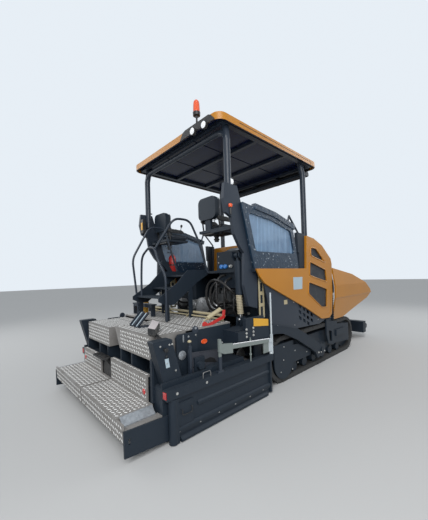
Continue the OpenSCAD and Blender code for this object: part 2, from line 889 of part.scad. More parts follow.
module rounded_plan(w, l, r) {
    for (x = [-w / 2 + r, w / 2 - r], s = [r, l - r]) translate([x, s]) circle(r);
    translate([-w / 2 + r, 0]) square([w - 2 * r, l]);
    translate([-w / 2, r]) square([w, l - 2 * r]);
}

module canopy_frame() {
    rail = [canopy_s + 120, canopy_s + canopy_l - 120];
    color(dark) from_tail() {
        for (side = [-1, 1]) on_side(side) {
            block([post_x - 40, post_x + 40], rail, [frame_z, frame_z + 60]);
            // Corner plate that carries the post, the screen and the seat
            side_prism([corner_x, corner_x + 50]) polygon([
                [s_deck + 110, 1210], [s_deck + 130, deck_z - 240],
                [s_deck + 110, deck_z + 40], [s_deck + 20, deck_z + 310],
                [s_deck - 70, deck_z + 560], [s_deck - 165, deck_z + 870],
                [s_deck - 250, deck_z + 1130],
                [s_deck - 490, deck_z + 1130], [s_deck - 520, deck_z + 920],
                [s_deck - 480, deck_z + 740], [s_deck - 370, deck_z + 690],
                [s_deck - 330, deck_z + 470], [s_deck - 220, deck_z + 300],
                [s_deck - 140, deck_z + 220], [s_deck - 160, deck_z - 230],
                [s_deck - 80, 1260]
            ]);
            bent_tube([[post_x, s_post, deck_z + 880], [post_x, s_post, frame_z - 200],
                [post_x - 40, s_post + 20, frame_z + 20]], post_d);
            bent_tube([[post_x, s_hopper - 780, hood_z - 20],
                [post_x, s_hopper - 780, frame_z - 200],
                [post_x - 40, s_hopper - 800, frame_z + 20]], post_d);
        }
        for (s = [canopy_s + 120, canopy_s + 900, canopy_s + 1700,
            canopy_s + canopy_l - 180])
            block([-post_x, post_x], [s, s + 60], [frame_z, frame_z + 60]);
    }
}

module canopy_roof() {
    wall = 20;
    color(yellow) from_tail() translate([0, canopy_s, 0]) difference() {
        union() {
            translate([0, 0, canopy_z - canopy_t])
                linear_extrude(canopy_t - 25) rounded_plan(canopy_w, canopy_l, 140);
            translate([0, 30, canopy_z - 26])
                linear_extrude(26) rounded_plan(canopy_w - 60, canopy_l - 60, 120);
        }
        translate([0, wall, canopy_z - canopy_t - 1])
            linear_extrude(canopy_t - 49)
            rounded_plan(canopy_w - 2 * wall, canopy_l - 2 * wall, 120);
    }
}

module roof_lamps() {
    color("#e8e8e8") from_tail() {
        for (x = [580, 850])
            translate([x, canopy_s, canopy_z - 70]) rotate([90, 0, 0])
                cylinder(d = 105, h = 60);
        for (x = [-850, 850])
            translate([x, canopy_s + canopy_l + 60, canopy_z - 70]) rotate([90, 0, 0])
                cylinder(d = 105, h = 60);
        translate([640, canopy_s + 80, canopy_z]) {
            cylinder(d = 30, h = 160);
            translate([0, 0, 150]) cylinder(d = 110, h = 50);
            translate([0, 0, 200]) cylinder(d = 90, h = 150);
            translate([0, 0, 350]) sphere(d = 90);
        }
    }
}

// Lift cylinders

// Places a child whose axis runs down from the top pin to the rod's eye
module along_lift() {
    translate([lift_x, s_lift_top, lift_top_z]) rotate([lift_lean, 0, 0])
        rotate([0, 180, 0]) children();
}

module lift_barrel(side) {
    color(silver) from_tail() on_side(side) along_lift() difference() {
        union() {
            rotate([0, 90, 0])
                translate([0, 0, -lift_eye_w / 2]) cylinder(d = 80, h = lift_eye_w);
            translate([0, 0, 30]) cylinder(d = lift_eye_w - 4, h = 60);
            translate([0, 0, 80]) cylinder(d = barrel_d, h = barrel_l - 80);
        }
        rotate([0, 90, 0]) translate([0, 0, -lift_eye_w / 2 - 1])
            cylinder(d = lift_pin_d + 2 * fit, h = lift_eye_w + 2);
        translate([0, 0, 120]) cylinder(d = rod_d + 2 * fit, h = barrel_l);
    }
}

module lift_rod(side) {
    color("#d8dade") from_tail() on_side(side) along_lift() {
        translate([0, 0, lift_len - rod_l]) cylinder(d = rod_d, h = rod_l - 20);
        translate([-lift_eye_w / 2, 0, lift_len]) rotate([0, 90, 0])
            cylinder(d = 80, h = lift_eye_w);
    }
}

// Screed

module screed_main() {
    w = screed_wall;
    shell = [
        [s_main, sole_z + 40], [s_main, 560], [s_main + 60, 620],
        [s_main_front - 40, 620], [s_main_front, 520], [s_main_front, sole_z + 70],
        [s_main_front - 60, sole_z], [s_main + 30, sole_z]
    ];
    inner = [
        [s_main + w, sole_z + 50], [s_main + w, 560 - w / 2],
        [s_main + 60 + w / 2, 620 - w], [s_main_front - 40 - w / 2, 620 - w],
        [s_main_front - w, 520], [s_main_front - w, sole_z + 80],
        [s_main_front - 60 - w / 2, sole_z + w], [s_main + 30 + w / 2, sole_z + w]
    ];
    color(dark) from_tail() {
        difference() {
            side_prism([-main_x, main_x]) polygon(shell);
            for (side = [-1, 1]) on_side(side)
                side_prism([w, main_x - w]) polygon(inner);
        }
        for (side = [-1, 1]) on_side(side) {
            // Side frame of the superstructure
            side_prism([upper_x - 30, upper_x]) polygon([
                [s_main + 5, 552], [s_main + 5, screed_deck_z - 20],
                [s_main_front - 60, screed_deck_z - 20], [s_main_front - 45, 608],
                [s_main + 62, 608]
            ]);
            // Carrier that reaches out to the tow arm and holds the lift lugs
            block([upper_x - 100, carrier_x], [s_main_front - 190, s_main_front - 20],
                [790, 960]);
            block([lift_x - 60, carrier_x], [s_main_front - 190, s_lift_eye + 60],
                [930, 970]);
            for (x = [lift_x - lift_eye_w / 2 - 17, lift_x + lift_eye_w / 2 + 5])
                side_prism([x, x + 12]) polygon([
                    [s_lift_eye - 70, 965], [s_lift_eye - 50, lift_eye_z + 50],
                    [s_lift_eye + 50, lift_eye_z + 50], [s_lift_eye + 60, 965]
                ]);
            // Bearings of the guide tubes
            for (x = [30, upper_x + 8]) difference() {
                block([x, x + bearing_w], [guide_s - 65, s_main + 5], [290, 750]);
                for (z = [guide_z_left, guide_z_right])
                    cross_pin([x - 1, x + bearing_w + 1], guide_s, z, guide_d + 2 * fit);
            }
        }
        for (s = [s_main + 80, s_main_front - 120])
            block([-upper_x, upper_x], [s, s + 40], [608, 1000]);
    }
}

module screed_deck() {
    color(silver) from_tail()
        block([-upper_x, upper_x], [s_main + 5, s_main_front - 60],
            [screed_deck_z - 20, screed_deck_z]);
}

arm_outline = [
    [s_tow + 140, tow_z - 60], [s_tow + 120, tow_z + 20], [s_body + 1110, 570],
    [s_body + 650, 800], [s_body + 200, 900], [s_main_front + 560, 950],
    [s_main_front + 350, 1050], [s_main_front + 350, 1120], [s_main_front - 40, 1120],
    [s_main_front - 40, 960], [s_main_front - 190, 960], [s_main_front - 190, 780],
    [s_main_front + 350, 780], [s_body, 815], [s_body + 230, 785],
    [s_body + 630, 620], [s_body + 1100, 370], [s_tow - 240, tow_z],
    [s_tow - 170, tow_z - 110]
];

module tow_arm(side) {
    color(dark) from_tail() on_side(side) {
        difference() {
            side_prism([arm_x, arm_x + arm_t]) {
                polygon(arm_outline);
                translate([s_tow, tow_z]) circle(r = 110);
            }
            cross_pin([arm_x - 1, arm_x + arm_t + 1], s_tow, tow_z, tow_pin_d + 2 * fit);
        }
        block([carrier_x, arm_x + 5], [s_main_front - 190, s_main_front - 20],
            [790, 960]);
    }
}

module tow_arms() {
    for (side = [-1, 1]) tow_arm(side);
}

// Extensions

module extension(side) {
    w = screed_wall;
    z = side > 0 ? guide_z_right : guide_z_left;
    body = [
        [s_extension, sole_z + 40], [s_extension, 540], [s_extension + 40, 560],
        [s_guide, 560], [s_guide, sole_z], [s_extension + 40, sole_z]
    ];
    color(dark) from_tail() on_side(side) {
        difference() {
            side_prism([clear, main_x - end_plate_t]) polygon(body);
            block([clear + w, main_x - end_plate_t - w], [s_extension + w, s_guide - w],
                [sole_z + 2 * w, 540 - w]);
        }
        side_prism([main_x - end_plate_t, main_x]) polygon([
            [s_extension, sole_z + 40], [s_extension, 610],
            [s_main - clear, 610], [s_main - clear, sole_z], [s_extension + 40, sole_z]
        ]);
        // Guide tube, free to slide in the bearings of the main screed
        cross_pin([bearing_w + 10 - extension_travel, main_x - end_plate_t + 5],
            guide_s, z, guide_d);
        // Frame of the upper box, with the side plate beside the deck
        for (x = [upper_in_x, 500])
            block([x, x + 30], [s_extension + 10, s_guide - 10],
                [555, side > 0 ? box_z + 20 : box_z - 20]);
        side_prism([upper_x, upper_x + 28]) polygon([
            [s_extension + 10, 555], [s_extension + 10, box_z], [s_extension + 310, box_z],
            [s_extension + 310, 1000], [s_extension + 340, 1030], [s_main - clear, 1030],
            [s_main - clear, 760], [s_guide - 10, 760], [s_guide - 10, 555]
        ]);
        // Post behind the riser
        if (side > 0)
            block([upper_x + 5, upper_x + 45], [s_extension - 22, s_extension + 5],
                [380, 830]);
        // Slanted control box beside the tread
        side_prism([main_x - 140, main_x - end_plate_t]) polygon(rounded([
            [s_extension + 50, 560], [s_extension - 80, 1040],
            [s_extension + 150, 1040], [s_extension + 280, 560]
        ], 12));
        // Arms that carry the walkway
        for (x = [120, upper_x - 100])
            side_prism([x, x + 40]) polygon([
                [20, 185], [20, 340], [s_extension + 5, 340], [s_extension + 5, 120]
            ]);
        for (s = [s_extension + 160, s_main - 130])
            block([main_x - 5, gate_x - 20], [s, s + 110], [200, 440]);
    }
}

module walkway(side) {
    right = side > 0;
    tread_t = 16;
    tread_z = 360 + tread_t;
    riser_x = right ? [15, upper_x - 35] : [320, upper_x + 45];
    riser_z = right ? 655 : 610;
    top_z = right ? screed_deck_z : screed_deck_z - 40;
    tread_end = main_x - 148;
    lip_end = main_x - 10;
    box_end = upper_x - 10;
    // Rear face of the upper box in width and height
    face = right
        ? [[40, top_z], [box_end, top_z], [box_end - 30, box_z + 20], [180, box_z + 20]]
        : [[160, top_z], [box_end, top_z], [box_end, box_z - 20], [160, box_z - 20]];
    color(silver) from_tail() on_side(side) {
        // Tread with a folded frame, and kick lips below it
        block([clear, tread_end], [0, walkway_l - 4], [tread_z - tread_t, tread_z]);
        block([clear, lip_end], [3, 20], [300, tread_z - tread_t + 1]);
        block([clear, tread_end], [0, walkway_l - 4], [340, tread_z - tread_t + 1]);
        for (lip = [[8, 236, 290], [14, 182, 226]])
            block([clear, lip_end], [lip[0], 20], [lip[1], lip[2]]);
        block([130, 150], [8, 20], [182, 305]);
        block([910, 930], [8, 20], [182, 305]);
        // Sloped toe plate and the narrow strip beside the gate
        cross_prism([36, walkway_l - 20]) polygon([
            [tread_end - 4, tread_z - 2], [tread_end + 8, tread_z], [tread_end + 70, 312],
            [tread_end + 70, 300], [tread_end + 58, 300], [tread_end - 4, 362]
        ]);
        block([tread_end + 53, main_x - 5], [19, s_extension - 2], [286, 302]);
        // Riser with its top flange
        block(riser_x, [walkway_l - 24, walkway_l - 4], [tread_z - 1, riser_z]);
        block(riser_x, [walkway_l - 24, walkway_l + 25], [riser_z - 20, riser_z]);
    }
    // Upper box, open below
    color(silver) from_tail() on_side(side) difference() {
        cross_prism([s_extension + 12, s_guide - 10]) polygon(face);
        cross_prism([s_extension + 26, s_guide - 24]) polygon([
            face[0] + [60, -14], face[1] + [-16, -14], face[2] + [-16, -30],
            face[3] + [60, -30]
        ]);
    }
    color(silver) from_tail() on_side(side)
        block([clear, box_end], [s_guide - 20, s_main - clear],
            [top_z - 14, top_z]);
}

gate_s = [s_extension + 50, s_main_front + 480];
gate_beam_z = [462, 560];

module end_gate(side) {
    edge_x = gate_w / 2;
    panel = [gate_x, gate_x + 20];
    ledge = [
        [gate_x + 15, 92], [gate_x + 15, 165], [edge_x - 12, 150],
        [edge_x - 8, 138], [edge_x - 20, 92]
    ];
    color(dark) from_tail() on_side(side) {
        // Gate plate between the rounded nose and the front post
        block(panel, [gate_s[0] + 60, gate_s[1] - 20], [sole_z, gate_beam_z[0] + 5]);
        block([gate_x - 20, gate_x + 5], [s_extension + 60, s_main - 20], [180, 455]);
        translate([gate_x + 5, gate_s[0] + 40, 8]) cylinder(r = 48, h = gate_beam_z[0] - 12);
        block([gate_x, edge_x - 10], [gate_s[0] + 40, gate_s[0] + 90], [8, 450]);
        block([gate_x, edge_x - 10], [gate_s[1] - 50, gate_s[1] - 15],
            [30, gate_beam_z[0] + 5]);
        // Upper beam that overhangs the nose
        difference() {
            block([main_x + 5, edge_x - 8], [s_extension, gate_s[1] + 40], gate_beam_z);
            block([main_x + 17, edge_x - 20], [s_extension + 12, gate_s[1] + 28],
                [gate_beam_z[0] + 12, gate_beam_z[1] - 12]);
        }
        // Latch panel, guide rail, ledge and skid
        block([gate_x + 15, edge_x - 22], [gate_s[0] + 95, gate_s[0] + 280], [160, 400]);
        cross_prism([gate_s[0] + 350, gate_s[1] - 60]) polygon([
            [gate_x + 15, 290], [gate_x + 15, 350], [edge_x - 20, 330], [edge_x - 20, 305]
        ]);
        cross_prism([gate_s[0] + 88, gate_s[1] - 60]) polygon(ledge);
        cross_prism([gate_s[0] + 110, gate_s[1] - 120]) polygon([
            [gate_x + 15, 6], [gate_x + 15, 60], [edge_x, 36], [edge_x, 12],
            [edge_x - 10, 6]
        ]);
        // Side plate beside the walkway, with a hook slot
        difference() {
            side_prism([main_x, main_x + 20]) polygon([
                [6, 70], [2, 312], [gate_s[0] + 45, 285], [gate_s[0] + 45, 36]
            ]);
            block([main_x - 1, main_x + 21], [46, 66], [180, 236]);
        }
    }
}

module sensor_mast(side) {
    edge_x = gate_w / 2;
    s = gate_s[1] + 10;
    z = gate_beam_z[1];
    // Square socket and the pole that stands in it
    socket_z = z + 278;
    foot = s_main + 110;
    color("#b9c9d6") from_tail() on_side(side) {
        translate([edge_x - 30, s, z]) cylinder(d1 = 60, d2 = 26, h = 50);
        block([edge_x - 28, edge_x - 1], [s - 14, s + 14], [z, socket_z]);
        translate([edge_x - 14, s, socket_z - 5]) cylinder(d = 25, h = 597);
        block([edge_x - 28, edge_x - 14], [s - 190, s - 10], [z + 40, z + 225]);
        // Arm and the bracket at its rear end
        side_prism([edge_x - 27, edge_x - 3]) polygon([
            [foot, 812], [foot, 862], [s - 10, 779], [s - 10, 729]
        ]);
        side_prism([edge_x - 28, edge_x - 1]) polygon([
            [foot - 20, 800], [foot - 20, 950], [foot + 10, 950], [foot + 24, 890],
            [foot + 210, 864], [foot + 210, 745], [foot + 60, 765]
        ]);
        block([edge_x - 28, edge_x - 12], [foot - 15, foot + 25], [z, 820]);
        block([edge_x - 50, edge_x - 8], [foot - 40, foot + 50], [z, z + 20]);
        // Clamp screw halfway
        for (part = [[16, 0, 310], [32, 80, 24], [24, 230, 60]])
            translate([edge_x - 17, s - 470, z + part[1]]) cylinder(d = part[0], h = part[2]);
    }
}

// Stair and hand rails that stand on the screed

stair_x = [-550, 235];
step_z = [1410, 1530, 1730];
cheek_t = 15;

module stair() {
    cheek = [
        [s_main - 70, 1345], [s_main - 70, 1400], [s_main + 250, 1600],
        [s_deck - 440, deck_z + 20], [s_deck - 30, deck_z + 20],
        [s_deck - 30, deck_z - 60], [s_main_front - 10, 1600], [s_main + 190, 1285],
        [s_main + 60, 1285]
    ];
    color(dark) from_tail() {
        for (x = stair_x) {
            side_prism([x, x + cheek_t]) polygon(cheek);
            for (s = [s_main + 40, s_main + 470])
                block([x, x + cheek_t], [s, s + 70], [screed_deck_z, 1610 - (s_main + 470 - s) / 2]);
        }
        for (i = [0 : 2])
            block([stair_x[0] + 10, stair_x[1] + 5],
                [s_main - 10 + 290 * i, s_main + 225 + 290 * i],
                [step_z[i] - 28, step_z[i]]);
    }
}

module stair_rails() {
    rail_d = 34;
    foot = screed_deck_z;
    arch = [
        [s_main_front - 380, 2570], [s_main_front - 80, 2575], [s_main_front + 95, 2250],
        [s_deck - 45, deck_z - 30]
    ];
    left = stair_x[0] - rail_d / 2 - fit;
    right = stair_x[1] + cheek_t + rail_d / 2 + fit;
    color(dark) from_tail() {
        bent_tube(concat([[left, s_main + 30, foot], [left, s_main + 30, foot + 200],
            [left, s_main - 50, 2010]],
            [for (p = arch) [left, p[0] + (p[1] > 2400 ? 70 : 0), p[1]]]), rail_d);
        bent_tube(concat([[60, s_main + 5, 2125]], [for (p = arch) [right, p[0], p[1]]]),
            rail_d);
        // Hoop across the entry, from the deck to the lowest step
        bent_tube([
            [300, s_main + 25, foot], [300, s_main + 25, 1720], [130, s_main + 5, 1950],
            [50, s_main + 5, 2140], [-110, s_main + 5, 2165], [-350, s_main + 5, 2040],
            [-380, s_main + 5, 1700], [-380, s_main + 5, step_z[0]]
        ], rail_d);
    }
}

// Hoses

function spline_point(p, i, t) =
    let (a = p[max(i - 1, 0)], b = p[i], c = p[i + 1], d = p[min(i + 2, len(p) - 1)])
    0.5 * (2 * b + (c - a) * t + (2 * a - 5 * b + 4 * c - d) * t * t
        + (3 * b - a - 3 * c + d) * t * t * t);

function spline(p, n) = concat(
    [for (i = [0 : len(p) - 2], k = [0 : n - 1]) spline_point(p, i, k / n)],
    [p[len(p) - 1]]
);

function tangent(p, i) = unit(p[min(i + 1, len(p) - 1)] - p[max(i - 1, 0)]);

module swept_tube(path, d, sides) {
    rings = [
        for (i = [0 : len(path) - 1])
            let (t = tangent(path, i), e = unit([1, 0, 0] - t[0] * t), f = cross(t, e))
            for (k = [0 : sides - 1])
                path[i] + d / 2 * (cos(360 * k / sides) * e + sin(360 * k / sides) * f)
    ];
    n = len(path);
    polyhedron(rings, concat(
        [[for (k = [0 : sides - 1]) k]],
        [for (i = [0 : n - 2], k = [0 : sides - 1])
            [i * sides + k, (i + 1) * sides + k,
                (i + 1) * sides + (k + 1) % sides, i * sides + (k + 1) % sides]],
        [[for (k = [sides - 1 : -1 : 0]) (n - 1) * sides + k]]
    ));
}

hose_d = 38;
hose_routes = [
    [[570, 2010, 1700], [570, 1990, 1700], [566, 1905, 1677], [562, 1843, 1615],
        [560, 1820, 1530], [560, 1820, 1430], [560, 1820, 1330], [563, 1843, 1245],
        [568, 1905, 1183], [574, 1990, 1160], [580, 2090, 1160], [584, 2200, 1160],
        [584, 2300, 1160]],
    [[700, 2010, 1650], [700, 1995, 1650], [704, 1918, 1629], [710, 1861, 1573],
        [714, 1840, 1495], [714, 1840, 1420], [712, 1861, 1343], [708, 1918, 1286],
        [702, 1995, 1265], [698, 2100, 1265], [696, 2200, 1265], [696, 2300, 1265]],
    [[-620, 2300, 1580], [-620, 2180, 1580], [-624, 2080, 1580], [-630, 1985, 1555],
        [-634, 1915, 1485], [-636, 1890, 1390], [-634, 1915, 1295], [-630, 1985, 1225],
        [-626, 2080, 1200], [-624, 2180, 1200], [-624, 2300, 1200]]
];

module hose(index) {
    route = hose_routes[index];
    last = len(route) - 1;
    middle = [for (i = [1 : last - 1]) route[i]];
    path = concat([route[0]], spline(middle, 3), [route[last]]);
    color(rubber) from_tail() swept_tube(path, hose_d, 8);
}

chassis();
engine_block();
engine_hood();
side_panels();
cowl_grilles();
skirts();
track_frames();
track(-1);  // track_left
track(1);  // track_right
hopper_back();
conveyor();
hopper_wing(-1);  // hopper_wing_left
hopper_wing(1);  // hopper_wing_right
push_beam();
push_roller(-1);  // push_roller_left
push_roller(1);  // push_roller_right
auger_carrier();
auger(-1);  // auger_left
auger(1);  // auger_right
tanks();
hydraulics();
platform_deck();
console();
seat_frames();
seat_cushions();
screens();
screen_panes();
guard_rails();
canopy_frame();
canopy_roof();
roof_lamps();
lift_barrel(-1);  // lift_barrel_left
lift_barrel(1);  // lift_barrel_right
lift_rod(-1);  // lift_rod_left
lift_rod(1);  // lift_rod_right
screed_main();
screed_deck();
stair();
stair_rails();
tow_arms();
extension(-1);  // extension_left
extension(1);  // extension_right
walkway(-1);  // walkway_left
walkway(1);  // walkway_right
end_gate(-1);  // end_gate_left
end_gate(1);  // end_gate_right
sensor_mast(-1);  // sensor_mast_left
sensor_mast(1);  // sensor_mast_right
hose(0);  // hose_1
hose(1);  // hose_2
hose(2);  // hose_3
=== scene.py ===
"""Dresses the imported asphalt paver: its finishes, soft parts, small fittings, light and camera.

Places are given as in the part's source: X to the machine's right, S forward from the rear edge
of the walkway and Z up from the ground, all in millimetres. Blender's own frame is in metres,
with its origin under the middle of the machine.
"""
import logging
import math
from dataclasses import dataclass, field
from enum import Enum
from typing import Iterable, Optional, Sequence, Union

import bmesh
import bpy
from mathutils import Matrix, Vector


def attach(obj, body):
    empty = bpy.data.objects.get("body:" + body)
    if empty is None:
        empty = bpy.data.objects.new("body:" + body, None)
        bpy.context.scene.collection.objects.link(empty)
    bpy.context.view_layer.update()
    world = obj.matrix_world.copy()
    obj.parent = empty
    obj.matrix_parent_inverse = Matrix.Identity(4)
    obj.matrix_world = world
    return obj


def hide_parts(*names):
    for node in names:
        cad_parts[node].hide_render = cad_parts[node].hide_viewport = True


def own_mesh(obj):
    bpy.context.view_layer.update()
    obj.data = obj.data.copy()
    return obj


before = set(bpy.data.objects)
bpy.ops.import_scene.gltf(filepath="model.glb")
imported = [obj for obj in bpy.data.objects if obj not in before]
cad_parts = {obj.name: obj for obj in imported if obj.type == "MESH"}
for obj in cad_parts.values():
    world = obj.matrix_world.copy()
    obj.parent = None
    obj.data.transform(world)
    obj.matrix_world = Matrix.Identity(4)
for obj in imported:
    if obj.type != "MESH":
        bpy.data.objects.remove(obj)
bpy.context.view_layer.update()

log = logging.getLogger("paver")

Point = tuple[float, float, float]
Flat = tuple[float, float]
Span = tuple[float, float]
Colour = tuple[float, float, float]
Pieces = list[bpy.types.Object]

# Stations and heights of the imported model
S_HALF = 3412.5
S_EXTENSION = 420
S_MAIN = 1050
S_DECK = 1950
S_WALL = 2292
SCREED_TOP = 1060
DECK_Z = 1780

# Directions
UP = (0, 0, 1)
REAR = (0, -1, 0)

# How rounded edges are made, and which edges shade smooth
BEVEL_STEPS = 2
BEVEL_FROM_DEG = 40
SMOOTH_BELOW_DEG = 35


def place(point: Sequence[float]) -> Vector:
    """Turns a point in tail-frame millimetres into the frame's metres."""
    return Vector((point[0] / 1000, (point[1] - S_HALF) / 1000, point[2] / 1000))


class Body(str, Enum):
    """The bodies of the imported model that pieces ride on."""

    TRACTOR = "tractor"
    SCREED = "screed"
    LEFT = "extension_left"
    RIGHT = "extension_right"
    ROD_LEFT = "lift_rod_left"
    ROD_RIGHT = "lift_rod_right"


@dataclass(frozen=True)
class Side:
    """One side of the machine, with the bodies that move on it."""

    name: str
    sign: int
    extension: Body
    lift_rod: Body

    @property
    def out(self) -> Point:
        """The direction away from the machine's middle."""
        return (self.sign, 0, 0)

    def at(self, x: float, s: float, z: float) -> Point:
        """Returns a point on this side, x away from the middle."""
        return (self.sign * x, s, z)

    def span(self, inner: float, outer: float) -> Span:
        """Returns the span along X between two distances from the middle."""
        low, high = sorted((self.sign * inner, self.sign * outer))
        return low, high


SIDES = (Side("left", -1, Body.LEFT, Body.ROD_LEFT),
         Side("right", 1, Body.RIGHT, Body.ROD_RIGHT))


class Plane(Enum):
    """The plane of an outline that is extruded, named by the two axes that it uses."""

    SIDE = (1, 2, 0)
    CROSS = (0, 2, 1)
    PLAN = (0, 1, 2)


# Shader graphs


class Link:
    """An output socket of a shader graph."""

    def __init__(self, graph: "Graph", socket: bpy.types.NodeSocket) -> None:
        """Keeps the socket and the graph it belongs to."""
        self.graph = graph
        self.socket = socket


Number = Union[float, "Value"]


class Value(Link):
    """A number that varies over a surface, with arithmetic that adds Math nodes."""

    def _math(self, operation: str, first: Number, second: Number) -> "Value":
        """Adds one Math node and returns its result."""
        return self.graph.add("Math", {"operation": operation}, {0: first, 1: second})

    def __add__(self, other: Number) -> "Value":
        """Adds a number."""
        return self._math("ADD", self, other)

    __radd__ = __add__

    def __mul__(self, other: Number) -> "Value":
        """Multiplies by a number."""
        return self._math("MULTIPLY", self, other)

    __rmul__ = __mul__

    def __sub__(self, other: Number) -> "Value":
        """Takes a number away."""
        return self._math("SUBTRACT", self, other)

    def __rsub__(self, other: Number) -> "Value":
        """Takes this value from a number."""
        return self._math("SUBTRACT", other, self)

    def ramp(self, low: float, high: float) -> "Value":
        """Stretches low to high over nought to one, clamped."""
        return self.graph.add("MapRange", {"clamp": True}, {0: self, 1: low, 2: high})


class Graph:
    """A material's node graph, around one Principled shader."""

    def __init__(self, name: str) -> None:
        """Makes the material and its shader.

        Args:
            name: The material's name.
        """
        self.material = bpy.data.materials.new(name)
        self.material.use_nodes = True
        self.nodes = self.material.node_tree.nodes
        self.links = self.material.node_tree.links
        self.shader = self.nodes["Principled BSDF"]
        self._place: Optional[Link] = None

    def feed(self, socket: bpy.types.NodeSocket, value: object) -> None:
        """Links or sets one input socket.

        Args:
            socket: The input socket.
            value: A link, a number or a tuple.
        """
        if isinstance(value, Link):
            self.links.new(value.socket, socket)
        else:
            socket.default_value = value

    def add(self, kind: str, settings: Optional[dict] = None, inputs: Optional[dict] = None,
            out: Union[int, str] = 0) -> Link:
        """Adds one node.

        Args:
            kind: The node's type without its ShaderNode prefix.
            settings: Properties of the node, set first.
            inputs: Values or links by input index or name.
            out: The output to return.

        Returns:
            A Value where the output is a number, and otherwise a Link.
        """
        node = self.nodes.new("ShaderNode" + kind)
        for key, value in (settings or {}).items():
            setattr(node, key, value)
        for key, value in (inputs or {}).items():
            self.feed(node.inputs[key], value)
        socket = node.outputs[out]
        return (Value if socket.type == "VALUE" else Link)(self, socket)

    def place(self) -> Link:
        """Returns the point in the object's own frame, in metres."""
        if self._place is None:
            self._place = self.add("TexCoord", out="Object")
        return self._place

    def stretched(self, scale: Sequence[float]) -> Link:
        """Returns the object's own point scaled along each axis."""
        return self.add("VectorMath", {"operation": "MULTIPLY"},
                        {0: self.place(), 1: tuple(scale)})

    def noise(self, scale: float, detail: float = 3.0, at: Optional[Link] = None,
              rough: float = 0.5) -> Value:
        """Adds fractal noise between nought and one.

        Args:
            scale: Features per metre.
            detail: Octaves.
            at: The point to read it at.
            rough: Strength of the finer octaves.

        Returns:
            The noise.
        """
        return self.add("TexNoise", None, {"Vector": at or self.place(), "Scale": scale,
                                           "Detail": detail, "Roughness": rough}, "Fac")

    def cells(self, scale: float, out: str = "Distance", feature: str = "F1",
              **inputs: float) -> Link:
        """Adds a pattern of cells.

        Args:
            scale: Cells per metre.
            out: The output to return.
            feature: What the distance is measured to.
            inputs: Further inputs of the node.

        Returns:
            The chosen output.
        """
        return self.add("TexVoronoi", {"feature": feature},
                        {"Vector": self.place(), "Scale": scale, **inputs}, out)

    def blend(self, amount: Number, first: object, second: object) -> Link:
        """Mixes two colours, given as links or as red, green and blue."""
        a, b = (x if isinstance(x, Link) else (*x, 1.0) for x in (first, second))
        return self.add("Mix", {"data_type": "RGBA"}, {0: amount, 6: a, 7: b}, 2)

    def axis(self, source: str, axis: str) -> Value:
        """Returns one component of a texture coordinate output."""
        vector = self.add("TexCoord", out=source) if source != "Object" else self.place()
        return self.add("SeparateXYZ", None, {0: vector}, axis)

    def bump(self, height: Value, distance: float, strength: float = 1.0) -> None:
        """Feeds the shader's normal from a height.

        Args:
            height: The height between nought and one.
            distance: What one stands for, in metres.
            strength: How much of it shows.
        """
        normal = self.add("Bump", None, {"Height": height, "Distance": distance,
                                         "Strength": strength}, "Normal")
        self.feed(self.shader.inputs["Normal"], normal)

    def painted(self) -> Link:
        """Returns what feeds the shader's base colour so far."""
        return Link(self, self.shader.inputs["Base Color"].links[0].from_socket)

    def set(self, **inputs: object) -> None:
        """Sets or links the shader's inputs, with underscores for the blanks in names."""
        for key, value in inputs.items():
            name = key.replace("_", " ").title().replace("Ior", "IOR")
            if isinstance(value, tuple) and len(value) == 3:
                value = (*value, 1.0)
            self.feed(self.shader.inputs[name], value)


# Finishes


@dataclass(frozen=True)
class Finish:
    """A surface finish that makes one shared material.

    Each kind of finish overrides dress.
    """

    name: str
    colour: Colour
    roughness: float = 0.5
    metal: float = 0.0

    def material(self) -> bpy.types.Material:
        """Returns the finish's material, made on first use."""
        known = bpy.data.materials.get(self.name)
        if known is not None:
            return known
        graph = Graph(self.name)
        graph.set(metallic=self.metal)
        self.dress(graph)
        return graph.material

    def shades(self, graph: Graph, amount: Number, low: float, high: float = 1.0) -> Link:
        """Mixes two shades of the colour.

        Args:
            graph: The graph to add to.
            amount: Nought for the low shade, one for the high one.
            low: What the colour is multiplied by for the low shade.
            high: The same for the high shade.

        Returns:
            The mixed colour.
        """
        return graph.blend(amount, *([min(c * by, 1) for c in self.colour]
                                     for by in (low, high)))

    def dress(self, graph: Graph) -> None:
        """Builds the finish: cloudy tone, cloudy gloss and a fine grain."""
        cloud = graph.noise(9, 4)
        graph.set(base_color=self.shades(graph, cloud, 0.86, 1.12),
                  roughness=self.roughness - 0.08 + 0.16 * cloud)
        graph.bump(graph.noise(300, 2), 0.0004)


@dataclass(frozen=True)
class Paint(Finish):
    """Sprayed paint with road dust on its upper faces, faint runs and orange peel."""

    dust: float = 0.35
    dust_colour: Colour = (0.36, 0.33, 0.29)
    coat: float = 0.25
    shine: float = 0.5

    def dress(self, graph: Graph) -> None:
        """Builds the paint."""
        cloud = graph.noise(1.7, 3)
        specks = graph.noise(34, 5, rough=0.65)
        runs = graph.noise(1, 3, graph.stretched((26, 26, 1.6)))
        up = graph.axis("Normal", "Z").ramp(0.2, 1.0)
        settled = specks.ramp(0.42, 0.75)
        dust = up * (0.45 + 0.4 * settled) + settled * 0.14 + runs.ramp(0.55, 0.8) * 0.12
        dust = dust * self.dust
        tone = self.shades(graph, cloud, 0.9, 1.08)
        graph.set(base_color=graph.blend(dust, tone, self.dust_colour),
                  roughness=self.roughness + 0.4 * dust + 0.06 * cloud,
                  coat_weight=self.coat * (1 - dust), coat_roughness=0.12,
                  specular_ior_level=self.shine)
        graph.bump(graph.noise(260, 2) * 0.5 + specks * 0.5, 0.0005, 0.6)


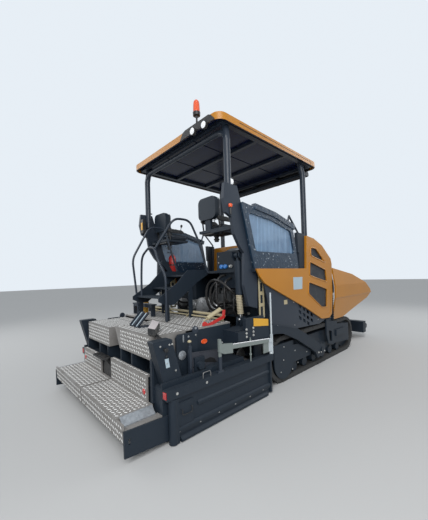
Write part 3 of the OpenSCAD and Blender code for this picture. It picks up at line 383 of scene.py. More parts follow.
@dataclass(frozen=True)
class RoofPaint(Paint):
    """Paint whose under side is a dark moulding."""

    under: Colour = (0.001, 0.006, 0.034)

    def dress(self, graph: Graph) -> None:
        """Builds the paint, and darkens the faces that look down."""
        super().dress(graph)
        down = 1 - graph.axis("Normal", "Z").ramp(-0.55, -0.35)
        graph.set(base_color=graph.blend(down, graph.painted(), self.under))


@dataclass(frozen=True)
class MastPaint(Paint):
    """Paint of a bare pole, darker on the arm and the brackets behind it."""

    arm: Colour = (0.18, 0.21, 0.20)
    pole_y: float = -1.297
    edge: float = 0.0005

    def dress(self, graph: Graph) -> None:
        """Builds the paint, and darkens what lies behind the pole."""
        super().dress(graph)
        ahead = graph.axis("Object", "Y").ramp(self.pole_y - self.edge, self.pole_y + self.edge)
        graph.set(base_color=graph.blend(ahead, self.arm, graph.painted()))


@dataclass(frozen=True)
class Tread(Finish):
    """Rolled aluminium with trodden dust between its raised marks."""

    dust_colour: Colour = (0.30, 0.27, 0.23)
    dust: float = 0.75

    def dress(self, graph: Graph) -> None:
        """Builds the rolled plate."""
        rolled = graph.noise(1, 3, graph.stretched((14, 260, 260)))
        cloud = graph.noise(6, 5, rough=0.62)
        dirt = (cloud.ramp(0.3, 0.62) * 0.55 + 0.45) * self.dust
        metal = self.shades(graph, rolled, 0.85)
        graph.set(base_color=graph.blend(dirt, metal, self.dust_colour),
                  roughness=self.roughness + 0.22 * dirt, metallic=self.metal * (1 - 0.75 * dirt))
        graph.bump(rolled * 0.4 + graph.noise(420, 2) * 0.6, 0.0005, 0.7)


@dataclass(frozen=True)
class Zinc(Finish):
    """Hot-dip zinc with its flat crystals."""

    def dress(self, graph: Graph) -> None:
        """Builds the zinc."""
        tone = graph.add("SeparateXYZ", None, {0: graph.cells(55.0, "Color")}, "X")
        graph.set(base_color=self.shades(graph, tone, 0.78),
                  roughness=self.roughness + 0.15 * tone)
        graph.bump(tone, 0.0003, 0.5)


@dataclass(frozen=True)
class WornSteel(Finish):
    """Bare steel with rust bloom and drag marks."""

    rust: float = 0.35
    rust_colour: Colour = (0.20, 0.10, 0.05)

    def dress(self, graph: Graph) -> None:
        """Builds the steel."""
        bloom = graph.noise(11, 5, rough=0.66).ramp(0.46, 0.7) * self.rust
        drag = graph.noise(1, 2, graph.stretched((10, 180, 180)))
        steel = self.shades(graph, drag, 0.75)
        graph.set(base_color=graph.blend(bloom, steel, self.rust_colour),
                  roughness=self.roughness + 0.3 * bloom + 0.08 * drag,
                  metallic=self.metal * (1 - bloom))
        graph.bump(drag * 0.5 + bloom, 0.0004)


@dataclass(frozen=True)
class Film(Finish):
    """Clear roll-down film, hazed by water marks."""

    haze: Colour = (0.56, 0.64, 0.70)

    def dress(self, graph: Graph) -> None:
        """Builds the film with streaks that run down it."""
        streaks = graph.noise(1, 4, graph.stretched((26, 22, 1.2)), 0.6)
        folds = graph.noise(3, 2)
        marks = (streaks.ramp(0.5, 0.8) * 0.5 + folds * 0.55).ramp(0.0, 0.8)
        graph.set(base_color=graph.blend(marks, self.colour, self.haze),
                  roughness=self.roughness + 0.3 * marks, alpha=0.66 + 0.3 * marks)
        graph.bump(folds * 0.7 + streaks * 0.3, 0.004, 0.7)


@dataclass(frozen=True)
class Perforated(Finish):
    """Fine perforated sheet."""

    holes: float = 95.0
    dirt_colour: Colour = (0.16, 0.15, 0.13)

    def dress(self, graph: Graph) -> None:
        """Builds the sheet with rows of holes painted dark, as painted shade of what lies behind
        them.
        """
        sheet = graph.cells(self.holes, Randomness=0.0).ramp(0.25, 0.36)
        dirt = graph.noise(7, 4)
        # The holes are painted near black: painted shade.
        tone = self.shades(graph, sheet, 0.15)
        graph.set(base_color=graph.blend(dirt.ramp(0.5, 0.8) * 0.3, tone, self.dirt_colour),
                  roughness=self.roughness + 0.2 * dirt)
        graph.bump(sheet, 0.002, 0.8)


@dataclass(frozen=True)
class Crinkled(Finish):
    """Glossy dark cover film, creased and spotted by dried drops, with a painted sheen that
    lightens its creases.
    """

    drops: Colour = (0.42, 0.47, 0.52)

    def dress(self, graph: Graph) -> None:
        """Builds the film."""
        crease = graph.noise(16, 4, rough=0.6)
        rare = graph.noise(5, 2).ramp(0.36, 0.5)
        drop = (1 - graph.cells(20.0).ramp(0.15, 0.23)) * rare * 0.75
        # Painted sheen: the creases are blended towards four times the film's colour.
        tone = self.shades(graph, crease.ramp(0.56, 0.7) * 0.22, 1, 4)
        graph.set(base_color=graph.blend(drop, tone, self.drops),
                  roughness=self.roughness + 0.25 * crease, coat_weight=0.5)
        graph.bump(crease, 0.012, 0.8)


@dataclass(frozen=True)
class Vinyl(Finish):
    """Grained upholstery vinyl."""

    def dress(self, graph: Graph) -> None:
        """Builds the vinyl with its fine cells."""
        cells = graph.cells(420.0, feature="DISTANCE_TO_EDGE")
        wear = graph.noise(12, 4)
        graph.set(base_color=self.shades(graph, wear, 0.8, 1.35),
                  roughness=self.roughness + 0.15 * wear)
        graph.bump(cells.ramp(0.0, 0.25), 0.0004)


@dataclass(frozen=True)
class Moulded(Finish):
    """Moulded rubber or plastic with scuffs and dust."""

    dust: float = 0.3
    dust_colour: Colour = (0.27, 0.25, 0.22)
    coat: float = 0.0
    shine: float = 0.5

    def dress(self, graph: Graph) -> None:
        """Builds the moulding."""
        scuff = graph.noise(24, 5, rough=0.7).ramp(0.45, 0.8) * self.dust
        graph.set(base_color=graph.blend(scuff, self.colour, self.dust_colour),
                  roughness=self.roughness + 0.25 * scuff, coat_weight=self.coat,
                  specular_ior_level=self.shine)
        graph.bump(graph.noise(180, 3), 0.0004)


@dataclass(frozen=True)
class Lens(Finish):
    """Clear or tinted lens with moulded ribs, and a faint painted glow that brightens it."""

    glow: float = 0.0

    def dress(self, graph: Graph) -> None:
        """Builds the lens."""
        ribs = graph.add("TexWave", {"bands_direction": "Z"},
                         {"Vector": graph.place(), "Scale": 60.0}, "Fac")
        tone = self.shades(graph, ribs, 0.8)
        # Painted glow: the emission brightens the lens beyond what the lamps give it.
        graph.set(base_color=tone, roughness=self.roughness, coat_weight=1.0,
                  emission_color=tone, emission_strength=self.glow)
        graph.bump(ribs, 0.001)


GREY_DUST: Colour = (0.24, 0.24, 0.24)
BODY_YELLOW: Colour = (0.46, 0.184, 0.010)
YELLOW_DUST: Colour = (0.44, 0.32, 0.15)

DARK = Paint("frame_paint", (0.013, 0.021, 0.032), 0.46, dust=0.07, coat=0.02, shine=0.3,
             dust_colour=GREY_DUST)
DARK_SMOOTH = Paint("cover_paint", (0.020, 0.029, 0.044), 0.38, dust=0.07, coat=0.12, shine=0.4,
                    dust_colour=GREY_DUST)
COVER_GREY = Paint("cover_grey", (0.034, 0.038, 0.050), 0.45, dust=0.1, coat=0.05, shine=0.4)
YELLOW = Paint("body_paint", BODY_YELLOW, 0.36, dust=0.05, coat=0.2, dust_colour=YELLOW_DUST)
ROOF = RoofPaint("roof_paint", BODY_YELLOW, 0.36, dust=0.05, coat=0.2, dust_colour=YELLOW_DUST)
SIGN_YELLOW = Paint("plate_paint", (0.70, 0.36, 0.02), 0.45, dust=0.2)
PALE = Paint("label_paint", (0.40, 0.50, 0.56), 0.4, dust=0.2)
RED = Paint("red_paint", (0.50, 0.022, 0.018), 0.38, dust=0.1)
CREAM = Paint("cream_paint", (0.42, 0.36, 0.22), 0.45, dust=0.3)
BLUE = Paint("cap_paint", (0.02, 0.16, 0.48), 0.35, dust=0.1)
SENSOR = Paint("sensor_paint", (0.47, 0.53, 0.54), 0.32, dust=0.2)
MAST = MastPaint("mast_paint", (0.50, 0.55, 0.58), 0.32, dust=0.1)
LID = Paint("lid_paint", (0.58, 0.53, 0.53), 0.4, dust=0.1)
ENGINE = Paint("engine_paint", (0.10, 0.105, 0.11), 0.5, dust=0.3)
SILVER = Paint("pump_paint", (0.34, 0.35, 0.36), 0.38, 0.5, dust=0.3)
PLATE = Tread("rolled_plate", (0.42, 0.41, 0.40), 0.42, 0.6, dust=0.85,
              dust_colour=(0.205, 0.192, 0.178))
MARKS = Tread("raised_marks", (0.95, 0.95, 0.93), 0.35, 0.25, dust=0.05)
GALVANISED = Zinc("galvanised", (0.40, 0.43, 0.46), 0.42, 0.7)
ZINC_BOLT = Zinc("zinc_bolt", (0.62, 0.62, 0.60), 0.3, 0.7)
STEEL = WornSteel("worn_steel", (0.34, 0.34, 0.34), 0.4, 0.85)
CHROME = WornSteel("chromed_rod", (0.82, 0.83, 0.85), 0.12, 1.0, rust=0.03)
TRACK = Moulded("track_rubber", (0.020, 0.021, 0.023), 0.6, dust=0.6)
BLACK = Moulded("black_plastic", (0.012, 0.013, 0.015), 0.42, dust=0.2)
# Near-black painted shade for deep gaps
GAP_SHADE = Finish("deep_gap", (0.002, 0.002, 0.003), 0.75)
HOSE = Moulded("hose_rubber", (0.012, 0.012, 0.013), 0.36, dust=0.2, coat=0.15)
BOOT = Moulded("boot_rubber", (0.36, 0.31, 0.21), 0.6, dust=0.3)
BLIND = Moulded("blind_cover", (0.001, 0.006, 0.034), 0.26, dust=0.02, shine=0.2)
MESH = Perforated("cowl_mesh", (0.019, 0.024, 0.032), 0.45)
COVER_FILM = Crinkled("screen_cover", (0.008, 0.026, 0.052), 0.22)
SEAT = Vinyl("seat_vinyl", (0.019, 0.026, 0.038), 0.45)
PANE = Film("screen_film", (0.11, 0.20, 0.33), 0.18, haze=(0.27, 0.42, 0.60))
# The lenses and reflectors below glow faintly: a painted glow.
LAMP = Lens("lamp_glass", (0.88, 0.90, 0.92), 0.12, glow=0.25)
ORANGE = Lens("orange_lens", (0.85, 0.10, 0.015), 0.2, glow=0.08)
REFLECTOR = Lens("red_reflector", (0.55, 0.02, 0.02), 0.2, glow=0.05)

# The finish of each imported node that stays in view
NODE_FINISH: dict[Finish, tuple[str, ...]] = {
    DARK: ("chassis", "track_frames", "hopper_back", "push_beam", "auger_carrier", "tanks",
           "seat_frames", "screed_main", "extension_left", "extension_right",
           "end_gate_left", "end_gate_right", "platform_deck", "stair", "tow_arms",
           "lift_barrel_left", "lift_barrel_right"),
    DARK_SMOOTH: ("skirts", "guard_rails", "canopy_frame", "console"),
    COVER_FILM: ("screens",),
    YELLOW: ("engine_hood", "side_panels", "hopper_wing_left", "hopper_wing_right"),
    ROOF: ("canopy_roof",),
    ENGINE: ("engine_block", "hydraulics"),
    PLATE: ("walkway_left", "walkway_right", "screed_deck"),
    STEEL: ("conveyor", "push_roller_left", "push_roller_right", "auger_left", "auger_right"),
    CHROME: ("lift_rod_left", "lift_rod_right"),
    TRACK: ("track_left", "track_right"),
    BLACK: ("cowl_grilles",),
    PANE: ("screen_panes",),
    MAST: ("sensor_mast_left", "sensor_mast_right"),
}


# Meshes


def add_object(name: str, data: bpy.types.ID) -> bpy.types.Object:
    """Makes an object and puts it into the scene.

    Args:
        name: Its name.
        data: Its mesh, curve, light or camera.

    Returns:
        The object.
    """
    item = bpy.data.objects.new(name, data)
    bpy.context.scene.collection.objects.link(item)
    return item


class Mesh:
    """Gathers closed solids in tail-frame millimetres and turns them into one object."""

    def __init__(self) -> None:
        """Starts empty."""
        self.points: list[Point] = []
        self.faces: list[tuple[int, ...]] = []

    def solid(self, points: Iterable[Sequence[float]], faces: Iterable[Sequence[int]]) -> None:
        """Adds a closed solid.

        Args:
            points: Its corners.
            faces: Its faces, as indices of the corners.
        """
        base = len(self.points)
        self.points += [tuple(p) for p in points]
        self.faces += [tuple(base + i for i in f) for f in faces]

    def prism(self, plane: Plane, outline: Sequence[Flat], span: Span) -> None:
        """Extrudes an outline.

        Args:
            plane: The plane it lies in.
            outline: Its corners.
            span: Where the solid starts and ends across the plane.
        """
        a, b, across = plane.value
        n = len(outline)
        corners = []
        for level in span:
            for u, v in outline:
                p = [0.0, 0.0, 0.0]
                p[a], p[b], p[across] = u, v, level
                corners.append(p)
        sides = [(i, (i + 1) % n, n + (i + 1) % n, n + i) for i in range(n)]
        self.solid(corners, [tuple(range(n)), tuple(range(2 * n - 1, n - 1, -1)), *sides])

    def block(self, x: Span, s: Span, z: Span) -> None:
        """Adds a box between two corners."""
        self.prism(Plane.SIDE, [(s[0], z[0]), (s[1], z[0]), (s[1], z[1]), (s[0], z[1])], x)

    def bar(self, start: Point, end: Point, size: Flat) -> None:
        """Adds a flat bar whose width lies level.

        Args:
            start: The middle of its first end.
            end: The middle of its last end.
            size: Its width and thickness.
        """
        a, b = Vector(start), Vector(end)
        along = (b - a).normalized()
        wide = along.cross(Vector(UP)).normalized() * size[0] / 2
        deep = wide.normalized().cross(along) * size[1] / 2
        corners = [p + i * wide + j * deep for p in (a, b)
                   for i, j in ((-1, -1), (1, -1), (1, 1), (-1, 1))]
        self.solid(corners, [(0, 1, 2, 3), (7, 6, 5, 4), (0, 4, 5, 1), (1, 5, 6, 2),
                             (2, 6, 7, 3), (3, 7, 4, 0)])

    def skin(self, corners: Sequence[Vector], sides: int) -> None:
        """Adds a closed solid through rings of corners.

        Args:
            corners: The corners, ring after ring.
            sides: How many corners each ring has.
        """
        last = len(corners) - sides
        walls = [(i + k, i + (k + 1) % sides, i + sides + (k + 1) % sides, i + sides + k)
                 for i in range(0, last, sides) for k in range(sides)]
        ends = [tuple(range(sides - 1, -1, -1)), tuple(range(last, last + sides))]
        self.solid(corners, walls + ends)

    def turned(self, base: Point, axis: Sequence[float], profile: Sequence[Flat],
               sides: int) -> None:
        """Turns a profile round an axis.

        Args:
            base: Where the axis starts.
            axis: Its direction.
            profile: Radius and height of each ring, from one end to the other.
            sides: Corners of a ring.
        """
        along = Vector(axis).normalized()
        across = along.orthogonal().normalized()
        other = along.cross(across)
        turns = [2 * math.pi * (k + 0.5) / sides for k in range(sides)]
        self.skin([Vector(base) + along * h + r * (across * math.cos(t) + other * math.sin(t))
                   for r, h in profile for t in turns], sides)

    def tube(self, path: Sequence[Sequence[float]], d: float, sides: int) -> None:
        """Sweeps a round bar along a path.

        Args:
            path: The points it runs through.
            d: Its diameter.
            sides: Corners of its section.
        """
        line = [Vector(p) for p in path]
        side = (line[1] - line[0]).orthogonal().normalized()
        corners = []
        for i, p in enumerate(line):
            t = (line[min(i + 1, len(line) - 1)] - line[max(i - 1, 0)]).normalized()
            side = (side - t * side.dot(t)).normalized()
            up = t.cross(side)
            corners += [p + d / 2 * (side * math.cos(a) + up * math.sin(a))
                        for a in (2 * math.pi * k / sides for k in range(sides))]
        self.skin(corners, sides)

    def bolt(self, at: Point, axis: Sequence[float], d: float, h: float) -> None:
        """Adds a hexagon head on its washer.

        Args:
            at: Where the washer lies on the surface.
            axis: The direction away from the surface.
            d: Across the washer.
            h: Height of both.
        """
        self.turned(at, axis, [(d / 2, 0), (d / 2, h * 0.2)], 14)
        self.turned(at, axis, [(d * 0.4, h * 0.2), (d * 0.4, h * 0.85), (d * 0.32, h)], 6)

    def side_bolts(self, side: Side, x: float, size: Flat, spots: Iterable[Flat]) -> None:
        """Adds bolts that face away from the machine's middle.

        Args:
            side: The side that they are on.
            x: How far from the middle their washers lie.
            size: Their width and height.
            spots: Their stations and heights above ground.
        """
        for s, z in spots:
            self.bolt(side.at(x, s, z), side.out, *size)

    def piece(self, name: str, finish: Finish, body: Body,
              bevel: float = 0.0) -> bpy.types.Object:
        """Makes the object and sets it on its body.

        Args:
            name: The object's name.
            finish: Its finish.
            body: The body it rides on.
            bevel: Width of its rounded edges, in millimetres.

        Returns:
            The object.
        """
        mesh = bpy.data.meshes.new(name)
        mesh.from_pydata([place(p) for p in self.points], [], self.faces)
        work = bmesh.new()
        work.from_mesh(mesh)
        bmesh.ops.recalc_face_normals(work, faces=work.faces)
        work.to_mesh(mesh)
        work.free()
        mesh.polygons.foreach_set("use_smooth", [True] * len(mesh.polygons))
        mesh.set_sharp_from_angle(angle=math.radians(SMOOTH_BELOW_DEG))
        mesh.materials.append(finish.material())
        item = add_object(name, mesh)
        if bevel:
            edge = item.modifiers.new("edges", "BEVEL")
            edge.width = bevel / 1000
            edge.segments = BEVEL_STEPS
            edge.limit_method = "ANGLE"
            edge.angle_limit = math.radians(BEVEL_FROM_DEG)
        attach(item, body.value)
        return item


def arc_through(path: Sequence[Sequence[float]], r: float, n: int = 5) -> list[Vector]:
    """Rounds the corners of a path.

    Args:
        path: Its corners.
        r: How far from a corner the bend starts.
        n: Steps in each bend.

    Returns:
        The points of the rounded path.
    """
    line = [Vector(p) for p in path]
    out = [line[0]]
    for a, b, c in zip(line, line[1:], line[2:]):
        reach = min(r, (a - b).length * 0.45, (c - b).length * 0.45)
        start, end = b + (a - b).normalized() * reach, b + (c - b).normalized() * reach
        for k in range(n + 1):
            t = k / n
            out.append((1 - t) ** 2 * start + 2 * t * (1 - t) * b + t * t * end)
    return out + [line[-1]]


def side_pieces(side: Side, body: Body, rows: Iterable[tuple]) -> Pieces:
    """Makes the pieces of one side.

    Args:
        side: The side, whose name ends theirs.
        body: The body they ride on.
        rows: The mesh, name and finish of each, and its bevel where it has one.

    Returns:
        The pieces.
    """
    return [mesh.piece(f"{name}_{side.name}", finish, body, *bevel)
            for mesh, name, finish, *bevel in rows]


# Sub-assemblies


@dataclass
class Studio:
    """Floor, lights and the camera at the photograph's angle."""

    eye: Point = (3580, -1030, 1690)
    yaw: float = 47.1
    pitch: float = 0.90
    roll: float = -1.67
    focal_px: float = 269.0
    image_h: float = 520.0
    centre_drop_px: float = 12.0
    sensor_mm: float = 36.0
    clip: Span = (0.05, 500)
    floor_half: float = 60.0
    floor_colour: Colour = (0.47, 0.47, 0.465)
    sky: tuple[Colour, float] = ((0.86, 0.93, 1.0), 0.52)
    backdrop: tuple[Colour, float] = ((0.80, 0.86, 0.92), 1.0)
    lamp_aim: Point = (0, 3000, 1000)
    # Name, place, size in metres and power of each broad lamp
    broad_lamps: tuple = (("key", (6500, -2500, 5200), 5.0, 400.0),
                          ("fill", (-6500, -2500, 5000), 6.0, 160.0),
                          ("front", (3000, 11500, 6500), 6.0, 220.0))
    sun_power: float = 0.9
    sun_width: float = 9.0
    sun_tilt: float = 38.0
    sun_turn: float = 28.0

    def camera(self) -> None:
        """Makes the camera that sees what the photograph shows."""
        yaw, pitch, roll = (math.radians(a) for a in (self.yaw, self.pitch, self.roll))
        ahead = Vector((-math.sin(yaw) * math.cos(pitch), math.cos(yaw) * math.cos(pitch),
                        math.sin(pitch)))
        level = Vector((math.cos(yaw), math.sin(yaw), 0))
        upright = level.cross(ahead)
        right = math.cos(roll) * level + math.sin(roll) * upright
        up = -math.sin(roll) * level + math.cos(roll) * upright
        data = bpy.data.cameras.new("photo_camera")
        data.sensor_width = self.sensor_mm
        data.lens = self.focal_px / self.image_h * data.sensor_width
        data.shift_y = self.centre_drop_px / self.image_h
        data.clip_start, data.clip_end = self.clip
        camera = add_object("photo_camera", data)
        turn = camera.matrix_world.copy()
        for row in range(3):
            turn[row][0], turn[row][1], turn[row][2] = right[row], up[row], -ahead[row]
        camera.matrix_world = turn
        camera.location = place(self.eye)
        bpy.context.scene.camera = camera

    def floor(self) -> None:
        """Makes the pale floor."""
        mesh = bpy.data.meshes.new("floor")
        h = self.floor_half
        mesh.from_pydata([(-h, -h, 0), (h, -h, 0), (h, h, 0), (-h, h, 0)], [], [(0, 1, 2, 3)])
        graph = Graph("floor_paint")
        graph.set(base_color=self.floor_colour, roughness=0.85)
        mesh.materials.append(graph.material)
        item = add_object("floor", mesh)

    def world(self) -> None:
        """Makes the soft sky light, with a pale background where the camera sees it."""
        world = bpy.data.worlds.new("studio")
        bpy.context.scene.world = world
        world.use_nodes = True
        nodes, links = world.node_tree.nodes, world.node_tree.links
        lit, seen = nodes["Background"], nodes.new("ShaderNodeBackground")
        for node, (colour, power) in ((lit, self.sky), (seen, self.backdrop)):
            node.inputs[0].default_value = (*colour, 1)
            node.inputs[1].default_value = power
        rays = nodes.new("ShaderNodeLightPath")
        most = nodes.new("ShaderNodeMath")
        most.operation = "MAXIMUM"
        links.new(rays.outputs["Is Camera Ray"], most.inputs[0])
        links.new(rays.outputs["Is Transmission Ray"], most.inputs[1])
        mix = nodes.new("ShaderNodeMixShader")
        links.new(most.outputs[0], mix.inputs[0])
        links.new(lit.outputs[0], mix.inputs[1])
        links.new(seen.outputs[0], mix.inputs[2])
        links.new(mix.outputs[0], nodes["World Output"].inputs["Surface"])

    def lamps(self) -> None:
        """Hangs three broad lamps and a weak sun."""
        for name, at, size, power in self.broad_lamps:
            data = bpy.data.lights.new(name, "AREA")
            data.size, data.energy = size, power
            lamp = add_object(name, data)
            lamp.location = place(at)
            aim = place(self.lamp_aim) - lamp.location
            lamp.rotation_mode = "QUATERNION"
            lamp.rotation_quaternion = aim.to_track_quat("-Z", "Y")
        data = bpy.data.lights.new("sun", "SUN")
        data.energy, data.angle = self.sun_power, math.radians(self.sun_width)
        sun = add_object("sun", data)
        sun.rotation_euler = (math.radians(self.sun_tilt), 0, math.radians(self.sun_turn))

    def build(self) -> None:
        """Sets the stage."""
        self.camera()
        self.floor()
        self.world()
        self.lamps()
        view = bpy.context.scene.view_settings
        view.view_transform = "Standard"


@dataclass
class Hoses:
    """Hydraulic hoses behind the platform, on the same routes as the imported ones."""

    diameter: float = 38.0
    steps: int = 6
    routes: tuple = (
        ((570, 2010, 1700), (570, 1990, 1700), (566, 1905, 1677), (562, 1843, 1615),
         (560, 1820, 1530), (560, 1820, 1430), (560, 1820, 1330), (563, 1843, 1245),
         (568, 1905, 1183), (574, 1990, 1160), (580, 2090, 1160), (584, 2200, 1160),
         (584, 2300, 1160)),
        ((700, 2010, 1650), (700, 1995, 1650), (704, 1918, 1629), (710, 1861, 1573),
         (714, 1840, 1495), (714, 1840, 1420), (712, 1861, 1343), (708, 1918, 1286),
         (702, 1995, 1265), (698, 2100, 1265), (696, 2200, 1265), (696, 2300, 1265)),
        ((-620, 2300, 1580), (-620, 2180, 1580), (-624, 2080, 1580), (-630, 1985, 1555),
         (-634, 1915, 1485), (-636, 1890, 1390), (-634, 1915, 1295), (-630, 1985, 1225),
         (-626, 2080, 1200), (-624, 2180, 1200), (-624, 2300, 1200)),
    )

    def spline(self, route: Sequence[Point]) -> list[Vector]:
        """Returns the smooth line through a route.

        Args:
            route: The points that the hose passes through.

        Returns:
            The line's points, in millimetres.
        """
        p = [Vector(q) for q in route[1:-1]]
        last = len(p) - 1
        out = [Vector(route[0])]
        for i in range(last):
            a, b, c, d = p[max(i - 1, 0)], p[i], p[i + 1], p[min(i + 2, last)]
            for k in range(self.steps):
                t = k / self.steps
                out.append(0.5 * (2 * b + (c - a) * t + (2 * a - 5 * b + 4 * c - d) * t * t
                                  + (3 * b - a - 3 * c + d) * t ** 3))
        return out + [p[last], Vector(route[-1])]

    def build(self) -> Pieces:
        made = []
        for index, route in enumerate(self.routes, 1):
            line = self.spline(route)
            length = sum((b - a).length for a, b in zip(line, line[1:])) / 1000
            curve = bpy.data.curves.new(f"hose_line_{index}", "CURVE")
            curve.dimensions = "3D"
            curve.bevel_depth = self.diameter / 2000
            curve.bevel_resolution = 4
            curve.use_fill_caps = True
            strand = curve.splines.new("POLY")
            strand.points.add(len(line) - 1)
            for knot, p in zip(strand.points, line):
                knot.co = (*place(p), 1)
            curve.materials.append(HOSE.material())
            hose = add_object(f"hose_line_{index}", curve)
            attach(hose, Body.TRACTOR.value)
            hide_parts(f"hose_{index}")
            tuple(place(route[0]))
            made.append(hose)
        return made


@dataclass
class Cushions:
    """Seat and back pads of both seats, blown up by cloth and sewn round their edges."""

    seats: tuple = (("right", 512), ("left", -822))
    s_seat: float = 1700.0
    seat_z: float = 2400.0
    voxel: float = 0.007
    pressure: float = 4.0
    most_swell: float = 0.012
    steps: int = 20
    edge_round: float = 0.022
    piping_d: float = 9.0
    piping_r: float = 34.0
    piping_out: float = 3.0
    # Name, half size, how far the middle lies ahead of and above the seat's rear edge, and
    # whether it lies flat
    pads: tuple = (("base", (193, 178, 36), 320, 47, True),
                   ("back", (172, 32, 158), 110, 320, False))

    def blank(self, name: str, half: Point, at: Point) -> bpy.types.Object:
        """Makes the flat pad that the simulation starts from.

        Args:
            name: The pad's name.
            half: Half its width, depth and height.
            at: Its centre.

        Returns:
            The pad, with rounded edges.
        """
        mesh = bpy.data.meshes.new(name)
        work = bmesh.new()
        bmesh.ops.create_cube(work, size=2)
        for v in work.verts:
            v.co = Vector([c * h / 1000 for c, h in zip(v.co, half)])
        bmesh.ops.bevel(work, geom=work.edges[:], offset=self.edge_round, segments=3,
                        affect="EDGES", profile=0.6)
        for v in work.verts:
            v.co += place(at)
        work.to_mesh(mesh)
        work.free()
        return add_object(name, mesh)

    def blow_up(self, pad: bpy.types.Object) -> None:
        """Swells the pad by cloth under pressure, and keeps how far each point moves small."""
        grid = pad.modifiers.new("grid", "REMESH")
        grid.mode, grid.voxel_size = "VOXEL", self.voxel
        self.apply(pad)
        start = [v.co.copy() for v in pad.data.vertices]
        cloth = pad.modifiers.new("cloth", "CLOTH")
        cloth.settings.use_pressure = True
        cloth.settings.uniform_pressure_force = self.pressure
        cloth.settings.effector_weights.gravity = 0
        for step in range(1, self.steps + 1):
            bpy.context.scene.frame_set(step)
        self.apply(pad)
        for v, rest in zip(pad.data.vertices, start):
            move = v.co - rest
            if move.length > self.most_swell:
                v.co = rest + move.normalized() * self.most_swell
        bpy.context.scene.frame_set(1)
        self.refine(pad)
        pad.data.polygons.foreach_set("use_smooth", [True] * len(pad.data.polygons))
        pad.data.materials.clear()
        pad.data.materials.append(SEAT.material())

    def refine(self, pad: bpy.types.Object) -> None:
        """Smooths the pad's mesh by one level."""
        finer = pad.modifiers.new("finer", "SUBSURF")
        finer.levels = finer.render_levels = 1

    def apply(self, pad: bpy.types.Object) -> None:
        """Replaces the pad's mesh by what its modifiers make of it."""
        graph = bpy.context.evaluated_depsgraph_get()
        done = bpy.data.meshes.new_from_object(pad.evaluated_get(graph))
        pad.modifiers.clear()
        pad.data = done

    def piping(self, name: str, half: Point, at: Point, flat: bool) -> bpy.types.Object:
        """Makes the sewn cord round a pad's edge.

        Args:
            name: The piece's name.
            half: Half the pad's width, depth and height.
            at: The pad's centre.
            flat: Whether the pad lies flat, or stands up.

        Returns:
            The piping.
        """
        w, h = (size + self.piping_out for size in (half[0], half[1 if flat else 2]))
        r = self.piping_r
        ring = []
        for cx, cy, turn in ((w - r, h - r, 0), (r - w, h - r, 90), (r - w, r - h, 180),
                             (w - r, r - h, 270)):
            for k in range(7):
                a = math.radians(turn + 15 * k)
                u, v = cx + r * math.cos(a), cy + r * math.sin(a)
                ring.append((at[0] + u, at[1] + (v if flat else 0), at[2] + (0 if flat else v)))
        mesh = Mesh()
        mesh.tube(ring + ring[:1], self.piping_d, 8)
        return mesh.piece(name, SEAT, Body.TRACTOR)

    def build(self) -> Pieces:
        """Makes four pads, each with its piping."""
        made = []
        for label, half, s, z, flat in self.pads:
            first = None
            for side, x in self.seats:
                at = (x, self.s_seat + s, self.seat_z + z)
                name = f"seat_{label}_{side}"
                if first is None:
                    pad = self.blank(name, half, at)
                    self.blow_up(pad)
                    first = pad, x
                else:
                    pad = add_object(name, first[0].data.copy())
                    shift = Vector(((x - first[1]) / 1000, 0, 0))
                    for v in pad.data.vertices:
                        v.co += shift
                    self.refine(pad)
                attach(pad, Body.TRACTOR.value)
                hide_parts("seat_cushions")
                made += [pad, self.piping(f"seat_piping_{label}_{side}", half, at, flat)]
        return made


